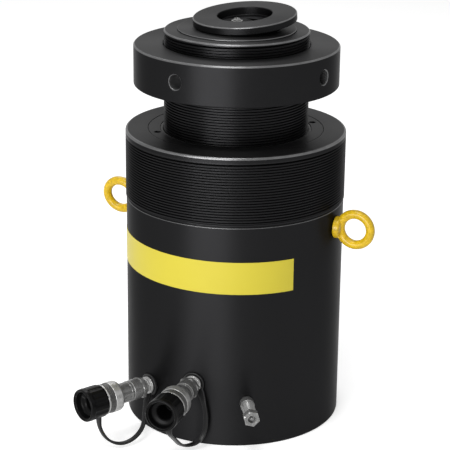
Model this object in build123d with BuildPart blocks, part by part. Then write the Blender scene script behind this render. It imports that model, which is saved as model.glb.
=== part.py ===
# Double-acting hydraulic cylinder with a mechanical lock nut, 200 tonne class.
# Millimetres, +Z up. The origin is the centre of the base face, and -Y is the front.
# Azimuths are in degrees from the front, positive towards +X.
import math
import os

from build123d import *

os.makedirs("parts", exist_ok=True)

# Cylinder body
body_wall = 27.5  # from the bore to the crest of the M245 x 3 collar thread
collar_pitch = 3.0
thread_depth = 1.75
thread_flat = 0.6  # width of the thread's crest and of its root
collar_relief = 0.7  # the plain body is this much smaller than the thread
undercut_width = 2.5  # where the collar thread runs out
undercut_depth = 1.9
body_height = 332.0
floor_thickness = 45.0
collar_thread_top_gap = 6.0
collar_thread_length = 72.0
body_top_chamfer = 3.0
body_bottom_chamfer = 2.0

# Motion
stroke = 100.0
rest_extension = 50.8  # how far the plunger stands out at rest
lift_off = 1.0  # oil gap under the piston when it is fully in

# Plunger, piston and lock nut
plunger_radius = 80.0  # Tr160 x 6 thread
plunger_chamfer = 1.5
ring_width = 15.0  # oil space round the plunger
piston_height = 50.0
nut_wall = 33.2
nut_height = 44.5
nut_protrusion = 15.4  # plunger above the nut when the nut is run up
nut_chamfer = 1.5
tommy_hole_radius = 8.0
tommy_hole_depth = 22.0
tommy_hole_count = 4
tommy_azimuth = -35.0

# Gland
gland_step = 2.4  # the gland's thread is this much larger than the bore
gland_thread_length = 60.0
spanner_hole_radius = 3.5
spanner_hole_inset = 9.0  # from the plunger to the holes' circle
spanner_hole_depth = 10.0
spanner_azimuth = -75.0

# Tilt saddle
saddle_radius = 57.2
saddle_rim = 7.5
saddle_recess_radius = 30.1
saddle_recess_depth = 9.0
saddle_hole_radius = 16.0
saddle_top_to_centre = 120.0  # from the centre of its ball surface down to its top face
saddle_tilt = 5.0
saddle_low_azimuth = -52.0
saddle_rise = 14.5  # top face above the plunger's end when the saddle is level
seat_radius = 65.0
seat_proud = 1.5
seat_depth = 14.4

# Eyebolts, M10
eye_height = 233.0
eye_azimuths = {"right": 66.0, "left": -114.0}
eye_rolls = {"right": 0.0, "left": -8.0}
eye_ring_radius = 17.5
eye_section_radius = 5.0
eye_flange_radius = 12.5
eye_flange_thickness = 7.5
eye_stand_off = 23.0
eye_shank_radius = 5.0
eye_shank_length = 17.0

# Hose couplings
port_azimuths = {"left": -50.0, "right": -21.0}
port_heights = {"left": 54.0, "right": 72.0}
spot_face_radius = 13.4
spot_face_depth = 2.0
port_thread_radius = 8.6
port_thread_depth = 16.0
oil_way_radius = 3.5
adaptor_length = 10.2
coupling_radius = 11.5
coupling_length = 51.8
hex_across_flats = 22.0
hex_thickness = 5.5
groove_offset = 11.1  # from the hexagon to the groove
groove_width = 2.2
groove_depth = 0.9
collar_length = 21.0
collar_outer_radius = 17.2
collar_offset = 35.3  # from the coupling's inner end to the collar's
cap_length = 24.5
cap_radius = 18.5
cap_wall = 2.6

# Relief valve
valve_azimuth = 7.0
valve_height = 52.0
valve_length = 42.5
valve_radius = 7.8
valve_hex_across_flats = 16.0
valve_hex_length = 9.0
valve_thread_radius = 6.5

# Clearances
slide_gap = 0.06  # running fit of plunger, nut and piston
seat_gap = 0.05  # pieces that are screwed or pressed together
free_gap = 0.3  # moving pieces that never touch


def outward(azimuth):
    """Unit vector that points out of the cylinder at an azimuth."""
    angle = math.radians(azimuth)
    return Vector(math.sin(angle), -math.cos(angle), 0)


def radial_plane(azimuth, height):
    """Plane through the cylinder's axis: local X is the distance from it, local Y is up."""
    way = outward(azimuth)
    return Plane(origin=(0, 0, height), x_dir=way, z_dir=way.cross(Vector(0, 0, 1)))


def facing_plane(azimuth, height, distance):
    """Plane across a radial line, at a distance from the cylinder's axis, facing outwards."""
    way = outward(azimuth)
    centre = way * distance + Vector(0, 0, height)
    return Plane(origin=centre, x_dir=Vector(0, 0, 1).cross(way), z_dir=way)


def keep(piece, name):
    piece.part.label = name
    export_step(piece.part, f"parts/{name}.step")


def turned(points, plane=Plane.XZ, axis=Axis.Z):
    """A closed outline of (radius, height) points, turned about an axis."""
    with BuildPart() as piece:
        with BuildSketch(plane):
            with BuildLine():
                Polyline(*points, close=True)
            make_face()
        revolve(axis=axis)
    return piece


def turned_radially(points, azimuth, height):
    """An outline of (distance from the cylinder's axis, radius) points, turned about a radial line."""
    plane = radial_plane(azimuth, height)
    return turned(points, plane, Axis(plane.origin, plane.x_dir))


bore_radius = plunger_radius + ring_width
collar_radius = bore_radius + body_wall
plain_radius = collar_radius - collar_relief
gland_thread_radius = bore_radius + gland_step
nut_radius = plunger_radius + nut_wall
spanner_hole_circle = plunger_radius + spanner_hole_inset
collar_top = body_height - collar_thread_top_gap
collar_bottom = collar_top - collar_thread_length
thread_turns = (collar_thread_length - undercut_width) // collar_pitch

# Heights at rest
piston_bottom = floor_thickness + lift_off + rest_extension
piston_top = piston_bottom + piston_height
gland_bottom = floor_thickness + lift_off + piston_height + stroke
nut_bottom = body_height + rest_extension
nut_top = nut_bottom + nut_height
plunger_top = nut_top + nut_protrusion

# Body, with its bore, ports and drillings
gland_seat = body_height - gland_thread_length
spot_floor = plain_radius - spot_face_depth
oil_way_end = bore_radius - 2.0
gun_drill_circle = (bore_radius + plain_radius) / 2
gun_drill_top = gland_bottom - 8.0
passage_plug_radius = 5.0
passage_plug_length = 12.0
eye_spot_depth = 0.3
valve_spot_depth = 0.8
eye_spot_floor = plain_radius - eye_spot_depth
eye_hole_depth = eye_shank_length + 3.0

with BuildPart() as barrel:
    with BuildSketch(Plane.XZ):
        with BuildLine():
            Polyline(
                (0, 0),
                (plain_radius - body_bottom_chamfer, 0),
                (plain_radius, body_bottom_chamfer),
                (plain_radius, collar_bottom),
                (collar_radius - undercut_depth, collar_bottom),
                (collar_radius - undercut_depth, collar_bottom + undercut_width),
                (collar_radius, collar_bottom + undercut_width),
                (collar_radius, body_height - body_top_chamfer),
                (collar_radius - body_top_chamfer, body_height),
                (gland_thread_radius + seat_gap, body_height),
                (gland_thread_radius + seat_gap, gland_seat),
                (bore_radius, gland_seat),
                (bore_radius, floor_thickness),
                (0, floor_thickness),
                close=True,
            )
        make_face()
    revolve(axis=Axis.Z)
    for side in port_azimuths:
        mouth = facing_plane(port_azimuths[side], port_heights[side], plain_radius + 1)
        with BuildSketch(mouth):
            Circle(spot_face_radius)
        extrude(amount=-(spot_face_depth + 1), mode=Mode.SUBTRACT)
        with BuildSketch(mouth):
            Circle(port_thread_radius + seat_gap)
        extrude(amount=-(spot_face_depth + 1 + port_thread_depth), mode=Mode.SUBTRACT)
    with BuildSketch(facing_plane(port_azimuths["left"], port_heights["left"], oil_way_end)):
        Circle(oil_way_radius)
    extrude(amount=spot_floor - oil_way_end, mode=Mode.SUBTRACT)
    gun_drill = outward(port_azimuths["right"]) * gun_drill_circle
    with BuildSketch(Plane.XY):
        with Locations((gun_drill.X, gun_drill.Y)):
            Circle(oil_way_radius)
    extrude(amount=gun_drill_top, mode=Mode.SUBTRACT)
    with BuildSketch(Plane.XY):
        with Locations((gun_drill.X, gun_drill.Y)):
            Circle(passage_plug_radius)
    extrude(amount=passage_plug_length, mode=Mode.SUBTRACT)
    outlet_height = gun_drill_top - oil_way_radius
    with BuildSketch(facing_plane(port_azimuths["right"], outlet_height, oil_way_end)):
        Circle(oil_way_radius)
    extrude(amount=gun_drill_circle - oil_way_end, mode=Mode.SUBTRACT)
    valve_mouth = facing_plane(valve_azimuth, valve_height, plain_radius + 1)
    with BuildSketch(valve_mouth):
        Circle(valve_radius + 1)
    extrude(amount=-(valve_spot_depth + 1), mode=Mode.SUBTRACT)
    with BuildSketch(valve_mouth):
        Circle(valve_thread_radius + seat_gap)
    extrude(amount=-(spot_face_depth + 1 + port_thread_depth), mode=Mode.SUBTRACT)
    with BuildSketch(facing_plane(valve_azimuth, valve_height, oil_way_end)):
        Circle(oil_way_radius)
    extrude(amount=spot_floor - oil_way_end, mode=Mode.SUBTRACT)
    for side in eye_azimuths:
        mouth = facing_plane(eye_azimuths[side], eye_height, plain_radius + 1)
        with BuildSketch(mouth):
            Circle(eye_flange_radius + 1)
        extrude(amount=-(eye_spot_depth + 1), mode=Mode.SUBTRACT)
        with BuildSketch(mouth):
            Circle(eye_shank_radius + seat_gap)
        extrude(amount=-(eye_spot_depth + 1 + eye_hole_depth), mode=Mode.SUBTRACT)
    # The collar's thread: one groove along a right-hand helix, open into the undercut at its foot
    with BuildLine(mode=Mode.PRIVATE):
        thread_first = collar_bottom + undercut_width / 2
        thread_path = Helix(collar_pitch, collar_pitch * thread_turns, collar_radius, center=(0, 0, thread_first))
    thread_section = Plane(origin=thread_path @ 0, x_dir=(1, 0, 0), z_dir=thread_path % 0)
    with BuildSketch(thread_section):
        with BuildLine():
            half_root = thread_flat / 2
            flank = (collar_pitch / 2 - thread_flat) / thread_depth
            half_mouth = half_root + flank * (thread_depth + free_gap)
            Polyline(
                (free_gap, half_mouth),
                (-thread_depth, half_root),
                (-thread_depth, -half_root),
                (free_gap, -half_mouth),
                close=True,
            )
        make_face()
    sweep(path=thread_path, is_frenet=True, mode=Mode.SUBTRACT)
keep(barrel, "barrel")

with BuildPart() as passage_plug:
    with BuildSketch(Plane.XY.offset(0.5)):
        with Locations((gun_drill.X, gun_drill.Y)):
            Circle(passage_plug_radius - seat_gap)
    extrude(amount=passage_plug_length - 0.5 - seat_gap)
    with BuildSketch(Plane.XY.offset(0.5)):
        with Locations((gun_drill.X, gun_drill.Y)):
            RegularPolygon(3.0, 6)
    extrude(amount=4, mode=Mode.SUBTRACT)
keep(passage_plug, "passage_plug")

# Gland ring, screwed into the top of the body, with what seals and guides the plunger
gland_clear_radius = plunger_radius + 0.4
gland_pilot_radius = bore_radius - seat_gap
gland_top = body_height - 0.2
rod_seal_height = 10.0
rod_seal_bottom = gland_bottom + 8.0
rod_seal_depth = 7.5
bearing_height = 10.0
bearing_bottom = rod_seal_bottom + rod_seal_height + 4.0
bearing_depth = 4.0
wiper_height = 8.0
wiper_depth = 4.0
o_ring_height = 6.0
o_ring_inset = 20.0
o_ring_bottom = gland_seat - o_ring_inset
o_ring_depth = 3.5

with BuildPart() as gland_ring:
    with BuildSketch(Plane.XZ):
        with BuildLine():
            Polyline(
                (gland_clear_radius, gland_bottom),
                (gland_pilot_radius, gland_bottom),
                (gland_pilot_radius, gland_seat + seat_gap),
                (gland_thread_radius, gland_seat + seat_gap),
                (gland_thread_radius, gland_top),
                (plunger_radius + wiper_depth, gland_top),
                (plunger_radius + wiper_depth, gland_top - wiper_height),
                (gland_clear_radius, gland_top - wiper_height),
                close=True,
            )
        make_face()
        with Locations((plunger_radius, rod_seal_bottom)):
            Rectangle(rod_seal_depth, rod_seal_height, align=Align.MIN, mode=Mode.SUBTRACT)
        with Locations((plunger_radius, bearing_bottom)):
            Rectangle(bearing_depth, bearing_height, align=Align.MIN, mode=Mode.SUBTRACT)
        with Locations((gland_pilot_radius - o_ring_depth, o_ring_bottom)):
            Rectangle(o_ring_depth + 1, o_ring_height, align=Align.MIN, mode=Mode.SUBTRACT)
    revolve(axis=Axis.Z)
    with BuildSketch(Plane.XY.offset(gland_top)):
        with PolarLocations(spanner_hole_circle, 2, start_angle=spanner_azimuth - 90):
            Circle(spanner_hole_radius)
    extrude(amount=-spanner_hole_depth, mode=Mode.SUBTRACT)
keep(gland_ring, "gland_ring")


def packing_ring(inner, outer, bottom, top, lip=0.0):
    """A seal or guide ring of rectangular section, with its inner edges cut back by a lip."""
    points = [(inner + lip, bottom), (outer, bottom), (outer, top), (inner + lip, top)]
    if lip:
        points += [(inner, top - lip), (inner, bottom + lip)]
    return turned(points)


sliding_radius = plunger_radius + slide_gap
rod_seal = packing_ring(
    sliding_radius,
    plunger_radius + rod_seal_depth - seat_gap,
    rod_seal_bottom + seat_gap,
    rod_seal_bottom + rod_seal_height - seat_gap,
    lip=1.2,
)
keep(rod_seal, "rod_seal")
gland_bearing = packing_ring(
    sliding_radius,
    plunger_radius + bearing_depth - seat_gap,
    bearing_bottom + seat_gap,
    bearing_bottom + bearing_height - seat_gap,
)
keep(gland_bearing, "gland_bearing")
wiper_ring = packing_ring(
    sliding_radius,
    plunger_radius + wiper_depth - seat_gap,
    gland_top - wiper_height + seat_gap,
    gland_top - 0.3,
    lip=1.0,
)
keep(wiper_ring, "wiper_ring")
gland_o_ring = packing_ring(
    gland_pilot_radius - o_ring_depth + seat_gap,
    bore_radius - seat_gap / 2,
    o_ring_bottom + seat_gap,
    o_ring_bottom + o_ring_height - seat_gap,
)
keep(gland_o_ring, "gland_o_ring")

# Plunger
spigot_shoulder = 20.0
spigot_thread_step = 4.0
spigot_radius = plunger_radius - spigot_shoulder
spigot_thread_radius = spigot_radius - spigot_thread_step
piston_nut_height = 13.0
piston_nut_inset = 7.0
piston_nut_radius = plunger_radius - piston_nut_inset
nut_recess_depth = 14.0
spigot_thread_top = piston_bottom + nut_recess_depth
seat_floor = plunger_top - seat_depth
screw_radius = 3.0
screw_hole_bottom = seat_floor - 14.0

with BuildPart() as plunger:
    with BuildSketch(Plane.XZ):
        with BuildLine():
            Polyline(
                (0, piston_bottom + 1),
                (spigot_thread_radius, piston_bottom + 1),
                (spigot_thread_radius, spigot_thread_top),
                (spigot_radius, spigot_thread_top),
                (spigot_radius, piston_top),
                (plunger_radius, piston_top),
                (plunger_radius, plunger_top - plunger_chamfer),
                (plunger_radius - plunger_chamfer, plunger_top),
                (seat_radius + seat_gap, plunger_top),
                (seat_radius + seat_gap, seat_floor),
                (screw_radius + seat_gap, seat_floor),
                (screw_radius + seat_gap, screw_hole_bottom),
                (0, screw_hole_bottom),
                close=True,
            )
        make_face()
    revolve(axis=Axis.Z)
keep(plunger, "plunger")

# Piston, held on the plunger's spigot by a slotted nut
piston_radius = bore_radius - slide_gap
piston_seal_height = 12.0
piston_seal_depth = 8.0
piston_seal_bottom = piston_bottom + (piston_height - piston_seal_height) / 2
guide_height = 6.0
guide_depth = 3.0
guide_bottoms = [piston_seal_bottom - 5 - guide_height, piston_seal_bottom + piston_seal_height + 5]
piston_chamfer = 6.0

with BuildPart() as piston:
    with BuildSketch(Plane.XZ):
        with BuildLine():
            Polyline(
                (spigot_radius + seat_gap, spigot_thread_top),
                (piston_nut_radius + 1, spigot_thread_top),
                (piston_nut_radius + 1, piston_bottom),
                (piston_radius - piston_chamfer, piston_bottom),
                (piston_radius, piston_bottom + piston_chamfer),
                (piston_radius, piston_top - piston_chamfer),
                (piston_radius - piston_chamfer, piston_top),
                (spigot_radius + seat_gap, piston_top),
                close=True,
            )
        make_face()
        with Locations((bore_radius - piston_seal_depth, piston_seal_bottom)):
            Rectangle(piston_seal_depth, piston_seal_height, align=Align.MIN, mode=Mode.SUBTRACT)
        for bottom in guide_bottoms:
            with Locations((bore_radius - guide_depth, bottom)):
                Rectangle(guide_depth, guide_height, align=Align.MIN, mode=Mode.SUBTRACT)
    revolve(axis=Axis.Z)
keep(piston, "piston")

piston_seal = packing_ring(
    bore_radius - piston_seal_depth + seat_gap,
    bore_radius - slide_gap,
    piston_seal_bottom + seat_gap,
    piston_seal_bottom + piston_seal_height - seat_gap,
)
keep(piston_seal, "piston_seal")

with BuildPart() as piston_guide_rings:
    with BuildSketch(Plane.XZ):
        for bottom in guide_bottoms:
            with Locations((bore_radius - guide_depth + seat_gap, bottom + seat_gap)):
                Rectangle(guide_depth - seat_gap - slide_gap, guide_height - 2 * seat_gap, align=Align.MIN)
    revolve(axis=Axis.Z)
keep(piston_guide_rings, "piston_guide_rings")

with BuildPart() as piston_nut:
    with BuildSketch(Plane.XY.offset(spigot_thread_top - seat_gap)):
        Circle(piston_nut_radius)
        Circle(spigot_thread_radius + seat_gap, mode=Mode.SUBTRACT)
        with PolarLocations(piston_nut_radius, 4):
            Rectangle(8, 10, mode=Mode.SUBTRACT)
    extrude(amount=-piston_nut_height)
keep(piston_nut, "piston_nut")

# Lock nut, with holes for a tommy bar
with BuildPart() as lock_nut:
    with BuildSketch(Plane.XZ):
        with BuildLine():
            Polyline(
                (sliding_radius + nut_chamfer, nut_bottom),
                (nut_radius - nut_chamfer, nut_bottom),
                (nut_radius, nut_bottom + nut_chamfer),
                (nut_radius, nut_top - nut_chamfer),
                (nut_radius - nut_chamfer, nut_top),
                (sliding_radius + nut_chamfer, nut_top),
                (sliding_radius, nut_top - nut_chamfer),
                (sliding_radius, nut_bottom + nut_chamfer),
                close=True,
            )
        make_face()
    revolve(axis=Axis.Z)
    for index in range(tommy_hole_count):
        azimuth = tommy_azimuth + index * 360 / tommy_hole_count
        with BuildSketch(facing_plane(azimuth, nut_bottom + nut_height / 2, nut_radius + 1)):
            Circle(tommy_hole_radius)
        extrude(amount=-(tommy_hole_depth + 1), mode=Mode.SUBTRACT)
keep(lock_nut, "lock_nut")

# Tilt saddle: a convex ball surface that rides in the dish of a hardened seat
ball_centre = plunger_top + saddle_rise + saddle_top_to_centre
rim_depth = saddle_top_to_centre + saddle_rim
ball_radius = math.hypot(rim_depth, saddle_radius)
dish_radius = ball_radius + free_gap
seat_top = plunger_top + seat_proud
dish_mouth_radius = math.sqrt(dish_radius**2 - (ball_centre - seat_top) ** 2)

with BuildPart() as saddle_seat:
    with BuildSketch(Plane.XZ):
        with BuildLine():
            screw_clear = screw_radius + free_gap
            dish_at_screw = ball_centre - math.sqrt(dish_radius**2 - screw_clear**2)
            arc_middle = dish_mouth_radius / 2
            Polyline(
                (screw_clear, dish_at_screw),
                (screw_clear, seat_floor + seat_gap),
                (seat_radius, seat_floor + seat_gap),
                (seat_radius, seat_top - 0.8),
                (seat_radius - 0.8, seat_top),
                (dish_mouth_radius, seat_top),
            )
            ThreePointArc(
                (dish_mouth_radius, seat_top),
                (arc_middle, ball_centre - math.sqrt(dish_radius**2 - arc_middle**2)),
                (screw_clear, dish_at_screw),
            )
        make_face()
    revolve(axis=Axis.Z)
keep(saddle_seat, "saddle_seat")

tilt = math.radians(saddle_tilt)
low_way = outward(saddle_low_azimuth)
saddle_up = low_way * math.sin(tilt) + Vector(0, 0, math.cos(tilt))
saddle_plane = Plane(
    origin=(0, 0, ball_centre),
    x_dir=low_way.cross(Vector(0, 0, 1)),
    z_dir=low_way.cross(Vector(0, 0, 1)).cross(saddle_up),
)
recess_floor = saddle_top_to_centre + saddle_recess_depth
saddle_edge = 0.8

with BuildPart() as saddle:
    with BuildSketch(saddle_plane):
        with BuildLine():
            hole_depth = math.sqrt(ball_radius**2 - saddle_hole_radius**2)
            arc_middle = (saddle_radius + saddle_hole_radius) / 2
            Polyline(
                (saddle_hole_radius, -hole_depth),
                (saddle_hole_radius, -recess_floor),
                (saddle_recess_radius, -recess_floor),
                (saddle_recess_radius, -saddle_top_to_centre - saddle_edge),
                (saddle_recess_radius + saddle_edge, -saddle_top_to_centre),
                (saddle_radius - saddle_edge, -saddle_top_to_centre),
                (saddle_radius, -saddle_top_to_centre - saddle_edge),
                (saddle_radius, -rim_depth),
            )
            ThreePointArc(
                (saddle_radius, -rim_depth),
                (arc_middle, -math.sqrt(ball_radius**2 - arc_middle**2)),
                (saddle_hole_radius, -hole_depth),
            )
        make_face()
    revolve(axis=Axis(saddle_plane.origin, saddle_up))
keep(saddle, "saddle")

# What holds the saddle down: a wide retainer, a washer and a screw on the plunger's axis
retainer_radius = 18.0
retainer_thickness = 1.2
floor_on_axis = ball_centre - recess_floor / math.cos(tilt)
retainer_bottom = floor_on_axis + retainer_radius * math.tan(tilt) + free_gap
retainer_top = retainer_bottom + retainer_thickness
washer_radius = 7.0
washer_top = retainer_top + seat_gap + 1.2
screw_head_radius = 5.2
screw_head_height = 2.8

saddle_retainer = turned(
    [
        (screw_radius + free_gap, retainer_bottom),
        (retainer_radius, retainer_bottom),
        (retainer_radius, retainer_top),
        (screw_radius + free_gap, retainer_top),
    ]
)
keep(saddle_retainer, "saddle_retainer")
saddle_washer = turned(
    [
        (screw_radius + seat_gap, retainer_top + seat_gap),
        (washer_radius, retainer_top + seat_gap),
        (washer_radius, washer_top),
        (screw_radius + seat_gap, washer_top),
    ]
)
keep(saddle_washer, "saddle_washer")

with BuildPart() as saddle_screw:
    with BuildSketch(Plane.XZ):
        with BuildLine():
            Polyline(
                (0, screw_hole_bottom + 2),
                (screw_radius, screw_hole_bottom + 2),
                (screw_radius, washer_top + seat_gap),
                (screw_head_radius, washer_top + seat_gap),
                (screw_head_radius, washer_top + screw_head_height - 1),
                (screw_head_radius - 1, washer_top + screw_head_height),
                (0, washer_top + screw_head_height),
                close=True,
            )
        make_face()
    revolve(axis=Axis.Z)
    with BuildSketch(Plane.XY.offset(washer_top + screw_head_height)):
        RegularPolygon(2.3, 6)
    extrude(amount=-1.8, mode=Mode.SUBTRACT)
keep(saddle_screw, "saddle_screw")

# Eyebolts
for side, azimuth in eye_azimuths.items():
    roll = math.radians(eye_rolls[side])
    way = outward(azimuth)
    across = Vector(0, 0, 1).cross(way)
    ring_normal = across * math.cos(roll) + Vector(0, 0, 1) * math.sin(roll)
    ring_centre = way * (eye_spot_floor + eye_stand_off) + Vector(0, 0, eye_height)
    ring_plane = Plane(origin=ring_centre, x_dir=way, z_dir=ring_normal)
    section_plane = Plane(
        origin=ring_centre + way * eye_ring_radius, x_dir=way, z_dir=way.cross(ring_normal)
    )
    with BuildPart() as eyebolt:
        with BuildSketch(section_plane):
            Circle(eye_section_radius)
        revolve(axis=Axis(ring_centre, ring_normal))
        with BuildSketch(facing_plane(azimuth, eye_height, eye_spot_floor + seat_gap)):
            Circle(eye_flange_radius)
        extrude(amount=eye_flange_thickness, taper=8)
        with BuildSketch(facing_plane(azimuth, eye_height, eye_spot_floor + seat_gap)):
            Circle(eye_shank_radius)
        extrude(amount=-eye_shank_length)
    keep(eyebolt, f"eyebolt_{side}")

# Hose couplings, each with its adaptor, rotating collar, poppet, dust cap and strap
adaptor_neck_radius = 7.2
adaptor_face = spot_floor + spot_face_depth + 1.0
coupling_start = adaptor_face + adaptor_length
groove_start = coupling_start + hex_thickness + groove_offset
coupling_end = coupling_start + coupling_length
collar_start = coupling_start + collar_offset
collar_end = collar_start + collar_length
socket_radius = 9.6
socket_depth = 14.0
poppet_radius = 6.0
poppet_travel = 4.0
poppet_seat = coupling_end - socket_depth
spring_chamber_radius = 7.6
spring_chamber_length = 16.0
collar_bore = coupling_radius + 1.9
collar_thread_radius = collar_outer_radius - 3.2
cap_start = collar_end + free_gap
cap_end = cap_start + cap_length
cap_plug_radius = socket_radius - free_gap
strap_ring_radius = 12.6
strap_radius = 2.2


def coupling_pieces(side):
    azimuth = port_azimuths[side]
    height = port_heights[side]

    adaptor = turned_radially(
        [
            (spot_floor - port_thread_depth + 1, oil_way_radius),
            (spot_floor - port_thread_depth + 1, port_thread_radius - 1),
            (spot_floor - port_thread_depth + 2, port_thread_radius),
            (adaptor_face + 1.2, port_thread_radius),
            (adaptor_face + 1.2, port_thread_radius + 1.0),
            (adaptor_face + 4.0, port_thread_radius + 1.0),
            (adaptor_face + 4.8, port_thread_radius),
            (adaptor_face + 5.4, adaptor_neck_radius),
            (coupling_start + 9.0, adaptor_neck_radius),
            (coupling_start + 9.0, oil_way_radius),
        ],
        azimuth,
        height,
    )
    keep(adaptor, f"{side}_adaptor")

    with BuildPart() as coupler:
        plane = radial_plane(azimuth, height)
        with BuildSketch(plane):
            with BuildLine():
                Polyline(
                    (coupling_start + hex_thickness - 1.0, adaptor_neck_radius + seat_gap),
                    (coupling_start + hex_thickness - 1.0, coupling_radius),
                    (groove_start, coupling_radius),
                    (groove_start + groove_width / 4, coupling_radius - groove_depth),
                    (groove_start + groove_width * 3 / 4, coupling_radius - groove_depth),
                    (groove_start + groove_width, coupling_radius),
                    (collar_start + 2.0, coupling_radius),
                    (collar_start + 3.0, coupling_radius + 1.6),
                    (collar_start + 7.0, coupling_radius + 1.6),
                    (collar_start + 7.0, coupling_radius),
                    (coupling_end, coupling_radius),
                    (coupling_end, socket_radius),
                    (poppet_seat, socket_radius),
                    (poppet_seat, poppet_radius - 1.2),
                    (poppet_seat - 2.0, poppet_radius - 1.2),
                    (poppet_seat - 2.0, spring_chamber_radius),
                    (poppet_seat - 2.0 - spring_chamber_length, spring_chamber_radius),
                    (poppet_seat - 2.0 - spring_chamber_length, oil_way_radius),
                    (coupling_start + 9.5, oil_way_radius),
                    (coupling_start + 9.5, adaptor_neck_radius + seat_gap),
                    close=True,
                )
            make_face()
        revolve(axis=Axis(plane.origin, plane.x_dir))
        with BuildSketch(facing_plane(azimuth, height, coupling_start)):
            RegularPolygon(hex_across_flats / 2, 6, major_radius=False, rotation=14)
            Circle(adaptor_neck_radius + seat_gap, mode=Mode.SUBTRACT)
        extrude(amount=hex_thickness)
    keep(coupler, f"{side}_coupler")

    # The poppet closes the socket from behind, and a spring behind it holds it there
    poppet_back = poppet_seat - 2.0 - free_gap
    poppet = turned_radially(
        [
            (poppet_back - 3.5, 0),
            (poppet_back - 3.5, poppet_radius),
            (poppet_back, poppet_radius),
            (poppet_back + 0.0, poppet_radius - 1.2 - free_gap),
            (poppet_seat + 2.0, poppet_radius - 1.2 - free_gap),
            (poppet_seat + 3.5, poppet_radius - 2.7 - free_gap),
            (poppet_seat + 3.5, 0),
        ],
        azimuth,
        height,
    )
    keep(poppet, f"{side}_poppet")
    spring_end = poppet_back - 3.5 - free_gap
    spring_start = poppet_seat - 2.0 - spring_chamber_length + seat_gap
    spring_wire = 1.2
    spring = turned_radially(
        [
            (spring_start, poppet_radius - spring_wire),
            (spring_end, poppet_radius - spring_wire),
            (spring_end, poppet_radius),
            (spring_start, poppet_radius),
        ],
        azimuth,
        height,
    )
    keep(spring, f"{side}_poppet_spring")

    # The collar turns on the coupling's shoulder
    shoulder_bore = coupling_radius + 1.6 + slide_gap
    collar = turned_radially(
        [
            (collar_start, coupling_radius + free_gap),
            (collar_start, collar_outer_radius - 1.5),
            (collar_start + 1.5, collar_outer_radius),
            (collar_start + 10.5, collar_outer_radius),
            (collar_start + 11.0, collar_outer_radius - 0.7),
            (collar_end - 3.0, collar_outer_radius - 0.7),
            (collar_end - 2.5, collar_outer_radius),
            (collar_end - 0.8, collar_outer_radius),
            (collar_end, collar_outer_radius - 0.8),
            (collar_end, collar_thread_radius),
            (collar_end + 9.0, collar_thread_radius),
            (collar_end + 9.0, collar_bore),
            (collar_start + 7.3, collar_bore),
            (collar_start + 7.3, shoulder_bore),
            (collar_start + 2.7 - free_gap, shoulder_bore),
            (collar_start + 1.7, coupling_radius + free_gap),
        ],
        azimuth,
        height,
    )
    keep(collar, f"{side}_collar")

    # The dust cap: a skirt over the collar, a plug in the socket, and a hollow front
    with BuildPart() as cap:
        plane = radial_plane(azimuth, height)
        skirt_bore = collar_thread_radius + free_gap
        web = cap_start + 11.0
        with BuildSketch(plane):
            with BuildLine():
                Polyline(
                    (cap_start, skirt_bore),
                    (cap_start, cap_radius - 1.4),
                    (cap_start + 0.8, cap_radius - 0.8),
                    (cap_end - 6.0, cap_radius - 0.5),
                    (cap_end - 4.5, cap_radius),
                    (cap_end - 1.5, cap_radius),
                    (cap_end, cap_radius - 1.5),
                    (cap_end, cap_radius - cap_wall + 0.6),
                    (cap_end - 1.0, cap_radius - cap_wall),
                    (web + 4.0, cap_radius - cap_wall - 2.2),
                    (web + 3.0, cap_plug_radius - 1.5),
                    (coupling_end - 2.0, cap_plug_radius - 2.5),
                    (coupling_end - 2.0, 0),
                    (coupling_end - 5.0, 0),
                    (coupling_end - 5.0, cap_plug_radius - 1.0),
                    (coupling_end - 4.0, cap_plug_radius),
                    (web, cap_plug_radius),
                    (web, skirt_bore),
                    close=True,
                )
            make_face()
        revolve(axis=Axis(plane.origin, plane.x_dir))
    keep(cap, f"{side}_dust_cap")


for side in port_azimuths:
    coupling_pieces(side)


def local_point(azimuth, distance, across, height):
    """A point by its distance along a port's line, its distance across it, and its height."""
    way = outward(azimuth)
    side_way = Vector(0, 0, 1).cross(way)
    return way * distance + side_way * across + Vector(0, 0, height)


strap_ring_start = spot_floor + 0.4
strap_ring_end = adaptor_face + 1.0
strap_foot = (strap_ring_start + strap_ring_end) / 2
cap_root = cap_start + 3.0

# Each strap's route, as distance along the port's line, distance across it, and height
strap_routes = {
    "left": [
        (strap_foot + 1.5, -0.5, port_heights["left"] - 11.3),
        (coupling_start + 2.0, 8.0, 30.0),
        (coupling_start + 11.5, 18.5, 17.0),
        (coupling_start + 23.0, 21.5, 9.0),
        (coupling_start + 35.5, 21.0, 4.6),
        (coupling_start + 47.0, 16.5, 4.2),
        (coupling_start + 55.5, 8.0, 9.5),
        (cap_root - 0.3, 0.5, 22.0),
        (cap_root, 0.0, port_heights["left"] - cap_radius - free_gap),
    ],
    "right": [
        (strap_foot + 1.5, 8.9, port_heights["right"] - 7.0),
        (coupling_start - 5.5, 15.0, 52.0),
        (coupling_start - 4.5, 18.2, 35.5),
        (coupling_start - 3.5, 17.0, 18.0),
        (coupling_start + 0.5, 10.0, 7.0),
        (coupling_start + 10.0, 0.5, 5.2),
        (coupling_start + 24.0, -1.5, 13.0),
        (coupling_start + 40.0, -1.0, 27.0),
        (coupling_start + 55.0, -0.3, 39.0),
        (cap_root - 0.3, 0.0, 46.0),
        (cap_root, 0.0, port_heights["right"] - cap_radius - free_gap),
    ],
}


def corner_radii(points):
    """The largest arcs that the runs beside each corner leave room for."""
    radii = []
    for before, here, after in zip(points, points[1:], points[2:]):
        arrive = here - before
        leave = after - here
        turn = math.radians(arrive.get_angle(leave))
        radii.append(0.45 * min(arrive.length, leave.length) / math.tan(turn / 2))
    return radii


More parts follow.
